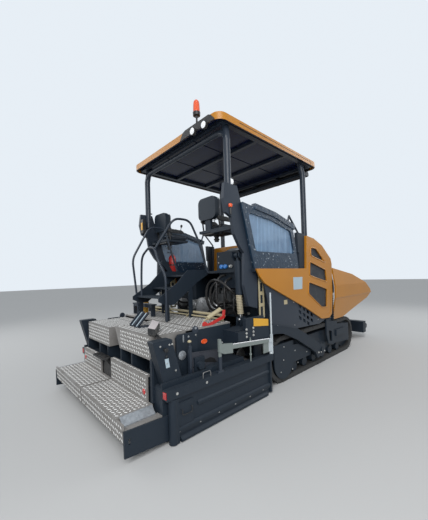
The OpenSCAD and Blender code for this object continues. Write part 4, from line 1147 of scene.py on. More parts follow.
@dataclass
class RaisedMarks:
    """Raised almond marks of the rolled plates, turned by turns to either side."""

    pitch: float = 46.0
    length: float = 39.0
    width: float = 16.0
    height: float = 3.2
    sunk: float = 0.4
    foot: tuple = ((-0.5, 0.0), (-0.26, -0.42), (0.1, -0.5), (0.34, -0.32), (0.5, 0.0),
                   (0.34, 0.32), (0.1, 0.5), (-0.26, 0.42))
    ridge: Flat = (-0.26, 0.28)
    # First corner and size of each area of the left and the right walkway, and whether it
    # stands up
    areas: tuple = (
        (((-1046, 6, 376), (1036, 368), False), ((-1044, 376, 378), (722, 212), True),
         ((-1044, 376, 610), (722, 48), False), ((-1190, 3.3, 303), (1178, 52), True),
         ((-1190, 8, 238), (1178, 50), True), ((-1190, 14, 181), (1178, 46), True),
         ((-990, 432, 760), (830, 260), True), ((-988, 436, 1020), (826, 440), False),
         ((-988, 884, 1020), (974, 150), False)),
        (((8, 6, 376), (1036, 368), False), ((16, 376, 378), (948, 257), True),
         ((16, 376, 655), (948, 48), False), ((12, 3.3, 303), (1178, 52), True),
         ((12, 8, 238), (1178, 50), True), ((12, 14, 181), (1178, 46), True),
         ((180, 432, 800), (780, 260), True), ((42, 436, 1060), (946, 440), False),
         ((14, 884, 1060), (974, 150), False)),
    )

    def mark(self, mesh: Mesh, at: Vector, along: Vector, up: Vector) -> None:
        """Adds one almond.

        Args:
            mesh: The mesh that it joins.
            at: Its centre on the plate.
            along: Its long direction.
            up: The plate's normal.
        """
        across = up.cross(along)
        low = [at + along * (a * self.length) + across * (b * self.width) - up * self.sunk
               for a, b in self.foot]
        high = [at + along * (a * self.length) + up * self.height for a in self.ridge]
        faces = [(0, 1, 8), (1, 2, 9, 8), (2, 3, 9), (3, 4, 9), (4, 5, 9), (5, 6, 9),
                 (6, 7, 8, 9), (7, 0, 8), (7, 6, 5, 4, 3, 2, 1, 0)]
        mesh.solid(low + high, faces)

    def cover(self, mesh: Mesh, corner: Point, size: Flat, upright: bool) -> None:
        """Covers a four-sided area with marks.

        Args:
            mesh: The mesh that they join.
            corner: The area's first corner.
            size: Its length along X, and forward or up.
            upright: Whether it stands up and faces the rear.
        """
        first, second = Vector((1, 0, 0)), Vector(UP if upright else (0, 1, 0))
        up = first.cross(second)
        half = self.pitch / 2
        columns, rows = (int(length // self.pitch) for length in size)
        free = (size[0] - columns * self.pitch) / 2, (size[1] - rows * self.pitch) / 2
        for j in range(rows):
            for i in range(columns):
                along = (first + second * (1 if (i + j) % 2 else -1)).normalized()
                at = (Vector(corner) + first * (free[0] + half + i * self.pitch)
                      + second * (free[1] + half + j * self.pitch))
                self.mark(mesh, at, along, up)

    def build(self) -> Pieces:
        """Makes the marks of both walkways and of the screed's deck."""
        made = []
        for side, areas in zip(SIDES, self.areas):
            marks = Mesh()
            for area in areas:
                self.cover(marks, *area)
            made.append(marks.piece(f"walkway_marks_{side.name}", MARKS, side.extension))
        deck = Mesh()
        self.cover(deck, (-996, 1060, SCREED_TOP), (1992, 576), False)
        made.append(deck.piece("deck_marks", MARKS, Body.SCREED))
        return made


@dataclass
class WalkwayFittings:
    """Toe plates, reflectors and the foot step of the walkways."""

    toe: tuple = ((1049, 377), (1061, 378.5), (1124, 313), (1124, 299), (1122, 298),
                  (1122, 312), (1060, 376.5), (1049, 375.5))
    reflector_x: tuple[float, ...] = (-985, 905)
    # The foot step's middle, how far its ends reach from it and how round they are
    step_at: Flat = (-235, 352)
    step_reach: float = 150.0
    step_round: float = 62.0
    ribs: int = 10
    rib_pitch: float = 30.0

    def build(self) -> Pieces:
        """Makes the fittings of both walkways."""
        made = []
        for side, x in zip(SIDES, self.reflector_x):
            toe, dot = Mesh(), Mesh()
            toe.prism(Plane.CROSS, [(side.sign * x, z) for x, z in self.toe], (34, 382))
            for s in (60, 210, 355):
                toe.turned(side.at(1092, s, 346), (side.sign, 0, 1), [(8, 0), (7, 3)], 10)
            dot.turned((x, 376, 470), REAR, [(31, 0), (31, 5), (27, 8), (0.1, 9)], 28)
            dot.block(side.span(1222, 1278), (S_EXTENSION - 7, S_EXTENSION + 1), (478, 545))
            made += side_pieces(side, side.extension, (
                (toe, "toe_plate", GALVANISED, 0.8), (dot, "rear_reflectors", REFLECTOR, 1.5)))
        return made + [self.foot_step()]

    def foot_step(self) -> bpy.types.Object:
        """Makes the ribbed step between the risers, on its bracket."""
        step = Mesh()
        step.block((-300, -20), (398, 412), (376, 640))
        x, s = self.step_at
        turns = [math.radians(15 * k + 7.5) for k in range(24)]
        oval = [(x + math.copysign(self.step_reach, math.cos(a)) + self.step_round * math.cos(a),
                 s + self.step_round * math.sin(a)) for a in turns]
        step.prism(Plane.PLAN, oval, (622, 640))
        for start in (-378 + i * self.rib_pitch for i in range(self.ribs)):
            step.block((start, start + 14), (302, 402), (638, 652))
        for x in (-290, -60):
            step.prism(Plane.SIDE, [(412, 624), (330, 624), (400, 520), (412, 520)],
                       (x, x + 15))
        return step.piece("foot_step", BLACK, Body.LEFT, 1.5)


@dataclass
class GateFittings:
    """Bolts, handles, grip, rods, sleeve and blank label of the end gates."""

    upper: float = 1170.0
    # Distance from the middle, size and places of each row of bolts
    bolts: tuple = (
        (1278, (28, 9), ((560, 120), (840, 118), (1120, 116), (1400, 116), (1680, 116),
                         (1960, 116))),
        (1170, (20, 8), ((430, 985), (540, 985), (500, 800), (612, 700), (575, 985))),
        (1028, (20, 8), ((900, 990), (1010, 990))),
        (1292, (30, 7), ((540, 510), (940, 510))),
    )
    rod_x: float = 1289.0
    # Rise and diameter of the two rods along the sensor's arm
    rods: tuple = ((4, 20), (-32, 14))
    handle_loop: tuple = ((1278, 600, 325), (1293, 600, 325), (1293, 600, 270), (1293, 725, 270),
                          (1293, 725, 325), (1278, 725, 325))

    def gate(self, side: Side) -> Pieces:
        """Makes the fittings of one gate.

        Args:
            side: The side that it is on.

        Returns:
            The pieces.
        """
        bolts, handle, grip, rod, sleeve, label = (Mesh() for _ in range(6))
        for row in self.bolts:
            bolts.side_bolts(side, *row)
        handle.tube(arc_through([side.at(*p) for p in self.handle_loop], 16), 9, 8)
        handle.turned(side.at(self.upper, 478, 945), side.out,
                      [(16, 0), (16, 22), (22, 26), (22, 44), (16, 48)], 16)
        handle.turned(side.at(self.upper, 498, 872), side.out, [(11, 0), (11, 10), (8, 14)], 14)
        grip.tube(arc_through([side.at(1276, s, z) for s, z in
                               ((900, 558), (900, 622), (1015, 622), (1015, 558))], 26), 9, 10)
        for rise, d in self.rods:
            rod.tube([side.at(self.rod_x, 1372, 844 + rise),
                      side.at(self.rod_x, 2118, 780 + rise)], d, 12)
        rod.side_bolts(side, 1286, (16, 8), ((1200, 905), (1290, 815), (2000, 700)))
        sleeve.block(side.span(1271, 1289), (1144, 1186), (579, 742))
        sleeve.block(side.span(1249, 1293), (1119, 1211), (560, 581))
        label.prism(Plane.SIDE, [(478, 845), (524, 848), (540, 752), (494, 750)],
                    side.span(self.upper, self.upper + 2))
        return side_pieces(side, side.extension, (
            (bolts, "gate_bolts", ZINC_BOLT), (handle, "gate_handles", BLACK),
            (grip, "beam_grip", STEEL), (rod, "sensor_rod", CHROME),
            (sleeve, "post_sleeve", DARK_SMOOTH, 1.5), (label, "blank_label", PALE, 0.4)))

    def build(self) -> Pieces:
        """Makes the fittings of both gates."""
        return [piece for side in SIDES for piece in self.gate(side)]


@dataclass
class ScreedFittings:
    """Levers, pipes, bolts and boots of the screed and its tow arms."""

    arm_bolts: tuple = ((3640, 262), (3740, 252), (3860, 250), (1670, 885), (1670, 930),
                        (1670, 980), (1810, 885), (1810, 930), (1810, 980))
    folds: int = 12
    lever_x: Span = (965, 985)
    lever_outline: tuple = ((1170, 1062), (1170, 1105), (1205, 1118), (1262, 1082), (1520, 1150),
                            (1532, 1228), (1572, 1228), (1560, 1120), (1300, 1050),
                            (1262, 1044), (1240, 1062))
    spring_x: float = 955.0
    # Both ends, diameter and sides of the gas spring's rod, barrel and eye
    spring: tuple = (((1205, 1122), (1300, 1160), 18, 12), ((1262, 1145), (1500, 1240), 58, 16),
                     ((1490, 1236), (1552, 1222), 22, 12))
    pipe_half: float = 930.0
    # Station, height and diameter of both pipes
    deck_lines: tuple = ((1606, 1139, 42), (1568, 1094, 24))
    stands: tuple[float, ...] = (-880, -420, 120, 620, 880)
    # Middle and half size of the oval reflector
    reflector_at: Flat = (1160, 880)
    reflector_half: Flat = (50, 30)

    def arms(self, side: Side) -> Pieces:
        """Makes the bolts and the yellow plate of one tow arm.

        Args:
            side: The side that it is on.

        Returns:
            The pieces.
        """
        bolts, plate = Mesh(), Mesh()
        bolts.side_bolts(side, 1265, (34, 13), self.arm_bolts)
        plate.prism(Plane.SIDE, [(1820, 1000), (2150, 962), (2150, 1058), (1820, 1108)],
                    side.span(1266, 1269))
        return side_pieces(side, Body.SCREED, (
            (bolts, "arm_bolts", ZINC_BOLT), (plate, "yellow_plate", SIGN_YELLOW, 0.6)))

    def boot(self, side: Side) -> bpy.types.Object:
        """Makes the pleated boot round one lift rod.

        Args:
            side: The side that it is on.

        Returns:
            The boot, which rides on the lift rod.
        """
        low, high = Vector(side.at(1000, 1863, 1140)), Vector(side.at(1000, 1838, 1416))
        length = (high - low).length
        fold = length / self.folds
        profile = [(30, 0)]
        for i in range(self.folds):
            profile += [(46, (i + 0.3) * fold), (40, (i + 0.85) * fold)]
        boot = Mesh()
        boot.turned(tuple(low), high - low, profile + [(30, length)], 24)
        item = boot.piece(f"lift_boot_{side.name}", BOOT, side.lift_rod)
        tuple(place(low))
        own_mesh(item)
        return item

    def lever(self) -> Pieces:
        """Makes the red lever and its gas spring at the right end of the deck."""
        arm, spring = Mesh(), Mesh()
        arm.prism(Plane.SIDE, self.lever_outline, self.lever_x)
        for start, end, d, sides in self.spring:
            spring.tube([(self.spring_x, *start), (self.spring_x, *end)], d, sides)
        return [arm.piece("red_lever", RED, Body.SCREED, 2.5),
                spring.piece("gas_spring", CREAM, Body.SCREED)]

    def pipes(self) -> bpy.types.Object:
        """Makes the two pipes along the front of the deck, on their stands."""
        pipe = Mesh()
        for s, z, d in self.deck_lines:
            pipe.tube([(x, s, z) for x in (-self.pipe_half, self.pipe_half)], d, 14)
        for x in self.stands:
            pipe.prism(Plane.CROSS, [(x - 16, SCREED_TOP), (x + 16, SCREED_TOP),
                                     (x + 12, 1142), (x - 12, 1142)], (1600, 1626))
            pipe.block((x - 12, x + 12), (1555, 1582), (SCREED_TOP, 1102))
        return pipe.piece("deck_pipes", CREAM, Body.SCREED, 1.5)

    def bench(self) -> Pieces:
        """Makes the low bench frame on the deck with the yellow cap behind it."""
        bench = Mesh()
        bench.block((-950, -300), (1175, 1275), (1238, 1262))
        bench.block((-940, -310), (1182, 1194), (1205, 1238))
        for x in (-950, -342):
            bench.block((x, x + 14), (1185, 1265), (SCREED_TOP, 1238))
            bench.block((x + 14, x + 42), (1210, 1240), (SCREED_TOP, 1068))
            bench.bolt((x + 28, 1225, 1068), UP, 18, 7)
        cap = Mesh()
        cap.turned((-800, 1345, 1059), UP, [(48, 0), (48, 170), (60, 176), (60, 206),
                                            (44, 220), (20, 226), (0.1, 228)], 24)
        return [bench.piece("deck_bench", DARK_SMOOTH, Body.SCREED, 3),
                cap.piece("yellow_cap", SIGN_YELLOW, Body.SCREED)]

    def build(self) -> Pieces:
        """Makes all fittings of the screed."""
        made = [*self.lever(), self.pipes(), *self.bench()]
        for side in SIDES:
            made += self.arms(side) + [self.boot(side)]
        lens = Mesh()
        (s, z), (long, high) = self.reflector_at, self.reflector_half
        oval = [(s + long * math.cos(a), z + high * math.sin(a))
                for a in (math.radians(15 * k) for k in range(24))]
        lens.prism(Plane.SIDE, oval, (1000, 1012))
        made.append(lens.piece("side_reflector", ORANGE, Body.SCREED, 4))
        return made


@dataclass
class HandRails:
    """Bent rails of the stair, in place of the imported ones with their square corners."""

    d: float = 34.0
    left: float = -567.3
    right: float = 267.3
    bend: float = 110.0
    # How far the left rail's upper bends lie ahead of the right one's
    left_ahead: float = 70.0

    def build(self) -> Pieces:
        """Makes both side rails and the hoop across the entry."""
        arch = ((S_MAIN + 210, 2570), (S_MAIN + 510, 2575), (S_MAIN + 685, 2250),
                (S_DECK - 45, DECK_Z - 30))
        deck, step = SCREED_TOP, 1410
        rails = Mesh()
        lines = (
            [(self.left, S_MAIN + 30, deck), (self.left, S_MAIN + 30, deck + 200),
             (self.left, S_MAIN - 50, 2010)]
            + [(self.left, s + self.left_ahead, z) for s, z in arch[:2]]
            + [(self.left, s, z) for s, z in arch[2:]],
            [(60, S_MAIN + 5, 2125)] + [(self.right, s, z) for s, z in arch],
            [(300, S_MAIN + 25, deck), (300, S_MAIN + 25, 1720), (130, S_MAIN + 5, 1950),
             (50, S_MAIN + 5, 2140), (-110, S_MAIN + 5, 2165), (-350, S_MAIN + 5, 2040),
             (-380, S_MAIN + 5, 1700), (-380, S_MAIN + 5, step)],
        )
        for line in lines:
            rails.tube(arc_through(line, self.bend, 6), self.d, 14)
        item = rails.piece("bent_rails", DARK_SMOOTH, Body.SCREED)
        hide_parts("stair_rails")
        return [item]


@dataclass
class PlatformPiping:
    """Formed pressure pipes, pump drum and valve stacks under the platform."""

    routes: tuple = (
        (40, ((330, 2290, 1130), (330, 1930, 1130), (330, 1835, 1230), (334, 1802, 1400),
              (380, 1795, 1560), (520, 1790, 1640), (700, 1790, 1610), (850, 1802, 1500),
              (880, 1900, 1400), (880, 2290, 1400))),
        (40, ((372, 2290, 1180), (372, 1950, 1180), (372, 1868, 1270), (376, 1842, 1400),
              (420, 1838, 1530), (500, 1880, 1600), (500, 2290, 1600))),
        (36, ((414, 2290, 1230), (414, 1975, 1230), (414, 1895, 1300), (420, 1880, 1400),
              (450, 1900, 1500), (450, 1990, 1540), (450, 2290, 1540))),
        (30, ((640, 2290, 1100), (640, 1960, 1100), (640, 1900, 1180), (640, 1900, 1420),
              (650, 1960, 1490), (650, 2290, 1490))),
        (30, ((800, 2290, 1080), (800, 1985, 1080), (800, 1935, 1150), (806, 1935, 1330),
              (806, 1990, 1390), (806, 2290, 1390))),
        (26, ((-700, 2290, 1120), (-700, 2050, 1120), (-700, 1990, 1190), (-700, 1990, 1400),
              (-700, 2060, 1470), (-700, 2290, 1470))),
        (26, ((-760, 2290, 1080), (-760, 2080, 1080), (-760, 2030, 1150), (-760, 2030, 1340),
              (-760, 2090, 1400), (-760, 2290, 1400))),
    )

    # X, height and radius of each drum, and radii as shares of it at depths behind the wall
    drum_places: tuple = ((-200, 1130, 178), (-455, 1160, 96), (130, 1120, 108))
    drum_profile: tuple = ((0.8, 0), (1, 18), (1, 60), (0.95, 66), (0.95, 84), (1, 90), (1, 138),
                           (0.86, 156), (0.5, 162), (0.5, 176), (0.2, 182))
    bolt_circle: float = 0.76
    bolt_depth: float = 158.0
    spools: int = 6
    spool_pitch: float = 50.0
    bend: float = 120.0

    def drums(self) -> bpy.types.Object:
        """Makes the dull aluminium pump and drive drums."""
        drum = Mesh()
        for x, z, r in self.drum_places:
            drum.turned((x, S_WALL, z), REAR, [(r * part, h) for part, h in self.drum_profile],
                        30)
            ring = r * self.bolt_circle
            for a in (math.radians(45 * k + 10) for k in range(8)):
                drum.bolt((x + ring * math.cos(a), S_WALL - self.bolt_depth,
                           z + ring * math.sin(a)), REAR, 20, 9)
        drum.turned((-1030, 2200, 1190), (1, 0, 0),
                    [(60, 0), (82, 14), (82, 150), (70, 158), (70, 176), (82, 184), (82, 250),
                     (40, 262)], 24)
        drum.block((-1000, -960), (2196, 2294), (1160, 1220))
        return drum.piece("pump_drums", SILVER, Body.TRACTOR, 1.5)

    def valves(self) -> bpy.types.Object:
        """Makes the valve stack, its spools and the filters."""
        stack = Mesh()
        stack.block((560, 860), (2180, S_WALL), (1200, 1330))
        for x in (585 + i * self.spool_pitch for i in range(self.spools)):
            stack.turned((x, 2182, 1236), REAR, [(16, 0), (16, 34), (11, 38), (11, 52)], 12)
            stack.turned((x, 2182, 1296), REAR, [(19, 0), (19, 14), (14, 17), (14, 44),
                                                 (9, 47)], 6)
        for x in (350, 470):
            stack.turned((x, 2200, 1440), (0, 0, -1), [(50, 0), (56, 8), (56, 40), (46, 48),
                                                       (46, 170), (38, 186)], 22)
            stack.block((x - 20, x + 20), (2200, S_WALL), (1400, 1432))
        return stack.piece("valve_stack", ENGINE, Body.TRACTOR, 1.2)

    def unions(self) -> bpy.types.Object:
        """Makes the nuts where the pipes meet the wall."""
        nuts = Mesh()
        for d, route in self.routes:
            for x, s, z in (route[0], route[-1]):
                nuts.turned((x, s, z), REAR, [(d * 0.78, 0), (d * 0.78, 22)], 6)
                nuts.turned((x, s - 22, z), REAR, [(d * 0.66, 0), (d * 0.66, 18),
                                                   (d * 0.56, 24)], 14)
        return nuts.piece("pipe_unions", ZINC_BOLT, Body.TRACTOR)

    def build(self) -> Pieces:
        """Makes the piping."""
        pipes = Mesh()
        for d, route in self.routes:
            pipes.tube(arc_through(route, self.bend, 6), d, 12)
        return [pipes.piece("formed_pipes", HOSE, Body.TRACTOR), self.drums(), self.valves(),
                self.unions()]


@dataclass
class DeckItems:
    """Folded brackets and the control box that lie on the right walkway's upper box."""

    top: float = 1060.0
    # X and station of both ends of each channel
    channels: tuple = (((215, 590), (105, 800)), ((365, 575), (255, 785)))
    # Corners of the control box's upper face, with their heights above the deck
    box_face: tuple = ((600, 672, 112), (742, 690, 92), (1052, 446, 82), (928, 424, 84))
    box_depth: float = 72.0
    lid_share: float = 0.93

    def build(self) -> Pieces:
        """Makes the two leaning channels with painted highlights along them, the flat plate and
        the box.
        """
        channel, highlight = Mesh(), Mesh()
        for (x0, s0), (x1, s1) in self.channels:
            channel.bar((x0, s0, self.top + 8), (x1, s1, self.top + 150), (70, 14))
            for way in (-30, 30):
                channel.bar((x0 + way, s0 + way * 0.5, self.top + 18),
                            (x1 + way, s1 + way * 0.5, self.top + 160), (10, 26))
            # Pale strips along the channels' webs: painted highlights.
            highlight.bar((x0, s0, self.top + 17), (x1, s1, self.top + 159), (12, 5))
        channel.prism(Plane.PLAN, [(290, 600), (430, 580), (470, 740), (330, 770)],
                      (self.top + 0.5, self.top + 9))
        return [channel.piece("folded_channels", DARK_SMOOTH, Body.RIGHT, 1),
                highlight.piece("channel_strips", PALE, Body.RIGHT, 0.5), *self.box()]

    def box(self) -> Pieces:
        """Makes the tilted control box with its lid, on a bracket at the gate."""
        face = self.box_face
        quads = [(3, 2, 1, 0), (4, 5, 6, 7), (0, 1, 5, 4), (1, 2, 6, 5), (2, 3, 7, 6),
                 (3, 0, 4, 7)]
        box, lid = Mesh(), Mesh()
        box.solid([(x, s, self.top + z - drop) for drop in (self.box_depth, 0)
                   for x, s, z in face], quads)
        box.block((690, 750), (590, 640), (self.top, self.top + 40))
        box.bar((985, 480, self.top + 14), (1145, 520, self.top - 62), (50, 10))
        mid = [sum(c[k] for c in face) / len(face) for k in range(2)]
        rim = [(mid[0] + (x - mid[0]) * self.lid_share, mid[1] + (s - mid[1]) * self.lid_share,
                z) for x, s, z in face]
        lid.solid([(x, s, self.top + z + up) for up in (-1, 6) for x, s, z in rim], quads)
        return [box.piece("control_box", BLACK, Body.RIGHT, 3),
                lid.piece("control_box_lid", LID, Body.RIGHT, 1.5)]


@dataclass
class SidePlateFittings:
    """Disc, lug, post and cover of the side plates beside the deck, with painted shade across the
    cover.
    """

    face: float = 1028.5
    post_x: float = 1103.0
    cover_x: float = 1102.0

    def plate(self, side: Side) -> Pieces:
        """Makes the fittings of one plate.

        Args:
            side: The side that it is on.

        Returns:
            The pieces.
        """
        disc, cap, cover, gap_shade, post = (Mesh() for _ in range(5))
        disc.turned(side.at(self.face, 800, 790), side.out,
                    [(52, -1), (52, 10), (40, 16), (14, 18), (14, 26), (0.1, 27)], 24)
        disc.bolt(side.at(self.face, 900, 985), side.out, 24, 8)
        disc.block(side.span(self.face - 1, self.face + 3), (815, 833), (935, 1020))
        disc.turned(side.at(self.face, 1008, 1072), side.out, [(15, 0), (15, 6)], 16)
        post.block(side.span(1085, 1121), (838, 872), (561, 900))
        post.turned(side.at(self.post_x, 855, 900), UP,
                    [(13, -2), (13, 22), (20, 24), (20, 40), (12, 46)], 14)
        post.turned(side.at(self.face, 1008, 1050), side.out, [(46, -14), (46, 2)], 24)
        cap.turned(side.at(self.post_x, 855, 943), UP, [(24, 0), (24, 10), (12, 22)], 16)
        cover.prism(Plane.SIDE, [(873, 562), (873, 802), (892, 815), (1300, 772), (1300, 562)],
                    side.span(self.cover_x - 4, self.cover_x))
        cover.tube([side.at(1101, 880, 812), side.at(1101, 1298, 769)], 9, 8)
        # A near-black sheet and tube across the cover: painted shade of a deep gap.
        gap_shade.prism(Plane.SIDE, [(1010, 688), (1090, 692), (1170, 702), (1240, 672), (1284, 606),
                               (1200, 632), (1100, 655)],
                  side.span(self.cover_x - 1, self.cover_x + 1))
        gap_shade.tube(arc_through([side.at(self.cover_x, s, z) for s, z in
                              ((896, 646), (942, 626), (1014, 684), (1060, 680))], 30), 9, 8)
        return side_pieces(side, side.extension, (
            (disc, "side_disc", GALVANISED), (cap, "post_cap", CREAM),
            (cover, "side_cover", COVER_GREY, 0.6), (gap_shade, "side_cover_gap", GAP_SHADE),
            (post, "side_post", DARK_SMOOTH, 2)))

    def build(self) -> Pieces:
        """Makes the fittings of both plates."""
        return [piece for side in SIDES for piece in self.plate(side)]


@dataclass
class PlatformFittings:
    """Arm rests, levers, handles, extinguisher and boxes of the operator's platform."""

    seats: tuple[float, ...] = (512, -822)
    rest_out: float = 188.0
    rest_outline: tuple = ((1745, 2560), (1760, 2600), (2050, 2590), (2100, 2560), (2090, 2530),
                           (1780, 2530))
    extinguisher_at: Point = (-1020, 2090, DECK_Z)
    knob_x: float = 1152.0
    lamp_x: float = 1105.0
    # The console's face looks up and back
    console_up: Point = (0, -0.376, 0.926)
    switches: int = 7

    def arm_rests(self) -> Pieces:
        """Makes the arm rests with their levers and switches."""
        rest, knob, white = Mesh(), Mesh(), Mesh()
        for x in self.seats:
            for way in (-1, 1):
                c = x + way * self.rest_out
                rest.prism(Plane.SIDE, self.rest_outline, (c - 20, c + 20))
                rest.tube([(c, 1780, 2535), (c, 1800, 2400)], 26, 12)
                knob.tube([(c, 2040, 2590), (c, 2055, 2650)], 12, 10)
                knob.turned((c, 2055, 2648), (0, 0.2, 1), [(12, 0), (21, 14), (21, 44), (12, 54),
                                                           (0.1, 56)], 16)
                for s in (1860, 1930):
                    white.turned((c, s, 2594), UP, [(13, 0), (13, 8), (7, 12)], 14)
            rest.block((x - 150, x + 150), (1730, 1900), (2330, 2359))
            for k in range(5):
                r = 46 if k % 2 else 34
                rest.turned((x, 1900, 2230 + k * 26), UP, [(r, 0), (r, 22)], 18)
        return [rest.piece("arm_rests", BLACK, Body.TRACTOR, 3),
                knob.piece("drive_levers", BLACK, Body.TRACTOR),
                white.piece("arm_rest_switches", SENSOR, Body.TRACTOR)]

    def extinguisher(self) -> Pieces:
        """Makes the extinguisher that stands at the platform's left edge."""
        bottle, top = Mesh(), Mesh()
        x, s, z = self.extinguisher_at
        bottle.turned((x, s, z), UP, [(66, 1), (72, 10), (72, 300), (60, 340), (28, 366),
                                      (28, 376)], 26)
        top.turned((x, s, z + 374), UP, [(20, 0), (20, 26), (12, 30)], 14)
        top.bar((x, s - 10, z + 402), (x, s - 110, z + 420), (22, 9))
        top.turned((x, s, z + 150), UP, [(74, 0), (74, 26)], 26)
        return [bottle.piece("extinguisher", RED, Body.TRACTOR),
                top.piece("extinguisher_valve", BLACK, Body.TRACTOR)]

    def corner(self) -> Pieces:
        """Makes the knobs and ring lamps of the rear corners, and the marker at the left."""
        knob, ring, dark, mark = (Mesh() for _ in range(4))
        for side in SIDES:
            lamp = side.at(self.lamp_x, 1640, 2950)
            knob.turned(side.at(self.knob_x, 1552, 2596), UP,
                        [(26, 0), (31, 8), (31, 36), (22, 46), (0.1, 50)], 20)
            dark.turned(side.at(self.knob_x, 1552, 2500), UP, [(16, 0), (16, 98)], 12)
            ring.turned(lamp, REAR, [(40, 0), (52, 12), (52, 30), (46, 34)], 24)
            dark.tube([lamp, side.at(self.lamp_x, 1700, 2950)], 24, 12)
        dark.block((-1086, -1000), (1440, 1500), (2540, 2800))
        mark.block((-1070, -1016), (1434, 1441), (2600, 2740))
        return [knob.piece("corner_knobs", ORANGE, Body.TRACTOR),
                ring.piece("corner_lamps", LAMP, Body.TRACTOR),
                dark.piece("corner_fittings", BLACK, Body.TRACTOR, 1),
                mark.piece("post_marker", SIGN_YELLOW, Body.TRACTOR, 1)]

    def panel(self) -> Pieces:
        """Makes the console's switches, display and drive lever."""
        knobs, face = Mesh(), Mesh()
        for i in range(self.switches):
            knobs.turned((-330 + 110 * i, 2950, 2174), self.console_up,
                         [(24, -4), (24, 8), (18, 12)], 16)
        knobs.turned((270, 3070, 2223), self.console_up,
                     [(34, -4), (34, 10), (12, 18), (12, 80), (26, 92), (26, 118), (14, 130)],
                     18)
        face.prism(Plane.SIDE, [(2998, 2192), (3162, 2259), (3157, 2273), (2993, 2206)],
                   (-135, 135))
        return [knobs.piece("console_switches", BLACK, Body.TRACTOR),
                face.piece("console_display", COVER_FILM, Body.TRACTOR, 2)]

    def build(self) -> Pieces:
        """Makes the fittings of the platform."""
        return self.arm_rests() + self.extinguisher() + self.corner() + self.panel()


@dataclass
class BodyFittings:
    """Bolts, rims, caps and blank labels of the tractor's sides."""

    rim: float = 20.0
    windows: tuple = (
        ((3550, 2160), (3750, 2150), (4120, 1890), (3540, 2015)),
        ((3500, 1905), (4115, 1755), (4160, 1515), (3480, 1655)),
        ((3440, 1545), (4150, 1380), (4120, 1030), (3910, 1045), (3415, 1335)),
    )
    # Distance from the middle, size and places of each row of bolts
    bolts: tuple = (
        (1199, (22, 8), ((2630, 550), (2950, 430), (2610, 350), (3030, 215), (2860, 150),
                         (2530, 180), (3330, 330))),
        (1200, (18, 6), ((2960, 1220), (2970, 845), (2480, 900), (2480, 1440), (3560, 1000),
                         (3800, 830))),
    )
    # Heights of the scale, the stations of its two strips, and the heights of its rungs
    scale_z: Span = (1060, 1744)
    strips: tuple = ((2105, 2143), (2200, 2236))
    rungs: tuple = ((1060, 1095), (1225, 1274), (1395, 1445), (1575, 1744))
    box_rear: float = 1962.0
    cap_z: float = 1835.0

    def sides(self, side: Side) -> Pieces:
        """Makes the bolts, the blank panel and the blank notice of one side.

        Args:
            side: The side that it is on.

        Returns:
            The pieces.
        """
        bolts, label, notice = Mesh(), Mesh(), Mesh()
        for row in self.bolts:
            bolts.side_bolts(side, *row)
        label.prism(Plane.SIDE, [(2930, 1430), (3210, 1430), (3225, 1635), (2930, 1635)],
                    side.span(1224.5, 1227))
        notice.block(side.span(1199.5, 1202), (2675, 2770), (1210, 1280))
        return side_pieces(side, Body.TRACTOR, (
            (bolts, "side_bolts", ZINC_BOLT), (label, "blank_panel", PALE, 0.6),
            (notice, "blank_notice", CREAM, 0.4)))

    def mesh_panels(self, side: Side) -> bpy.types.Object:
        """Makes the perforated panels in the windows of one side.

        Args:
            side: The side that it is on.

        Returns:
            The panels.
        """
        panels = Mesh()
        for outline in self.windows:
            panels.prism(Plane.SIDE, outline, side.span(1201, 1206))
        return panels.piece(f"cowl_mesh_{side.name}", MESH, Body.TRACTOR)

    def rims(self, side: Side) -> bpy.types.Object:
        """Makes the raised rims round the three windows of one side.

        Args:
            side: The side that it is on.

        Returns:
            The rims.
        """
        rim = Mesh()
        for outline in self.windows:
            mid = tuple((a + b) / 2 for a, b in zip(outline[0], outline[1]))
            path = [side.at(1226, s, z) for s, z in (mid, *outline[1:], outline[0], mid)]
            rim.tube(arc_through(path, 42), self.rim, 10)
        return rim.piece(f"window_rims_{side.name}", YELLOW, Body.TRACTOR)

    def scale(self, side: Side) -> bpy.types.Object:
        """Makes the pale face of the slotted height scale on one side.

        Args:
            side: The side that it is on.

        Returns:
            The face, with its edge marks.
        """
        x = side.span(1142.2, 1147)
        scale = Mesh()
        for strip in self.strips:
            scale.block(x, strip, self.scale_z)
        for rung in self.rungs:
            scale.block(x, (2142, 2201), rung)
        return scale.piece(f"height_scale_{side.name}", CREAM, Body.TRACTOR, 0.5)

    def caps(self) -> Pieces:
        """Makes the caps and fittings on the box at the platform's rear."""
        blue, white = Mesh(), Mesh()
        for x in (555, 640):
            blue.turned((x, self.box_rear, self.cap_z), REAR, [(34, 0), (34, 30), (28, 36)], 18)
        white.turned((760, self.box_rear, self.cap_z), REAR,
                     [(24, 0), (24, 22), (16, 26), (16, 48)], 14)
        for x, z in ((480, 2000), (860, 2000), (480, 1900), (860, 1900)):
            white.bolt((x, self.box_rear - 1, z), REAR, 18, 7)
        return [blue.piece("blue_caps", BLUE, Body.TRACTOR),
                white.piece("box_fittings", ZINC_BOLT, Body.TRACTOR)]

    def build(self) -> Pieces:
        """Makes the fittings of the body."""
        made = self.caps()
        for side in SIDES:
            made += self.sides(side)
            made += [self.rims(side), self.mesh_panels(side), self.scale(side)]
        return made


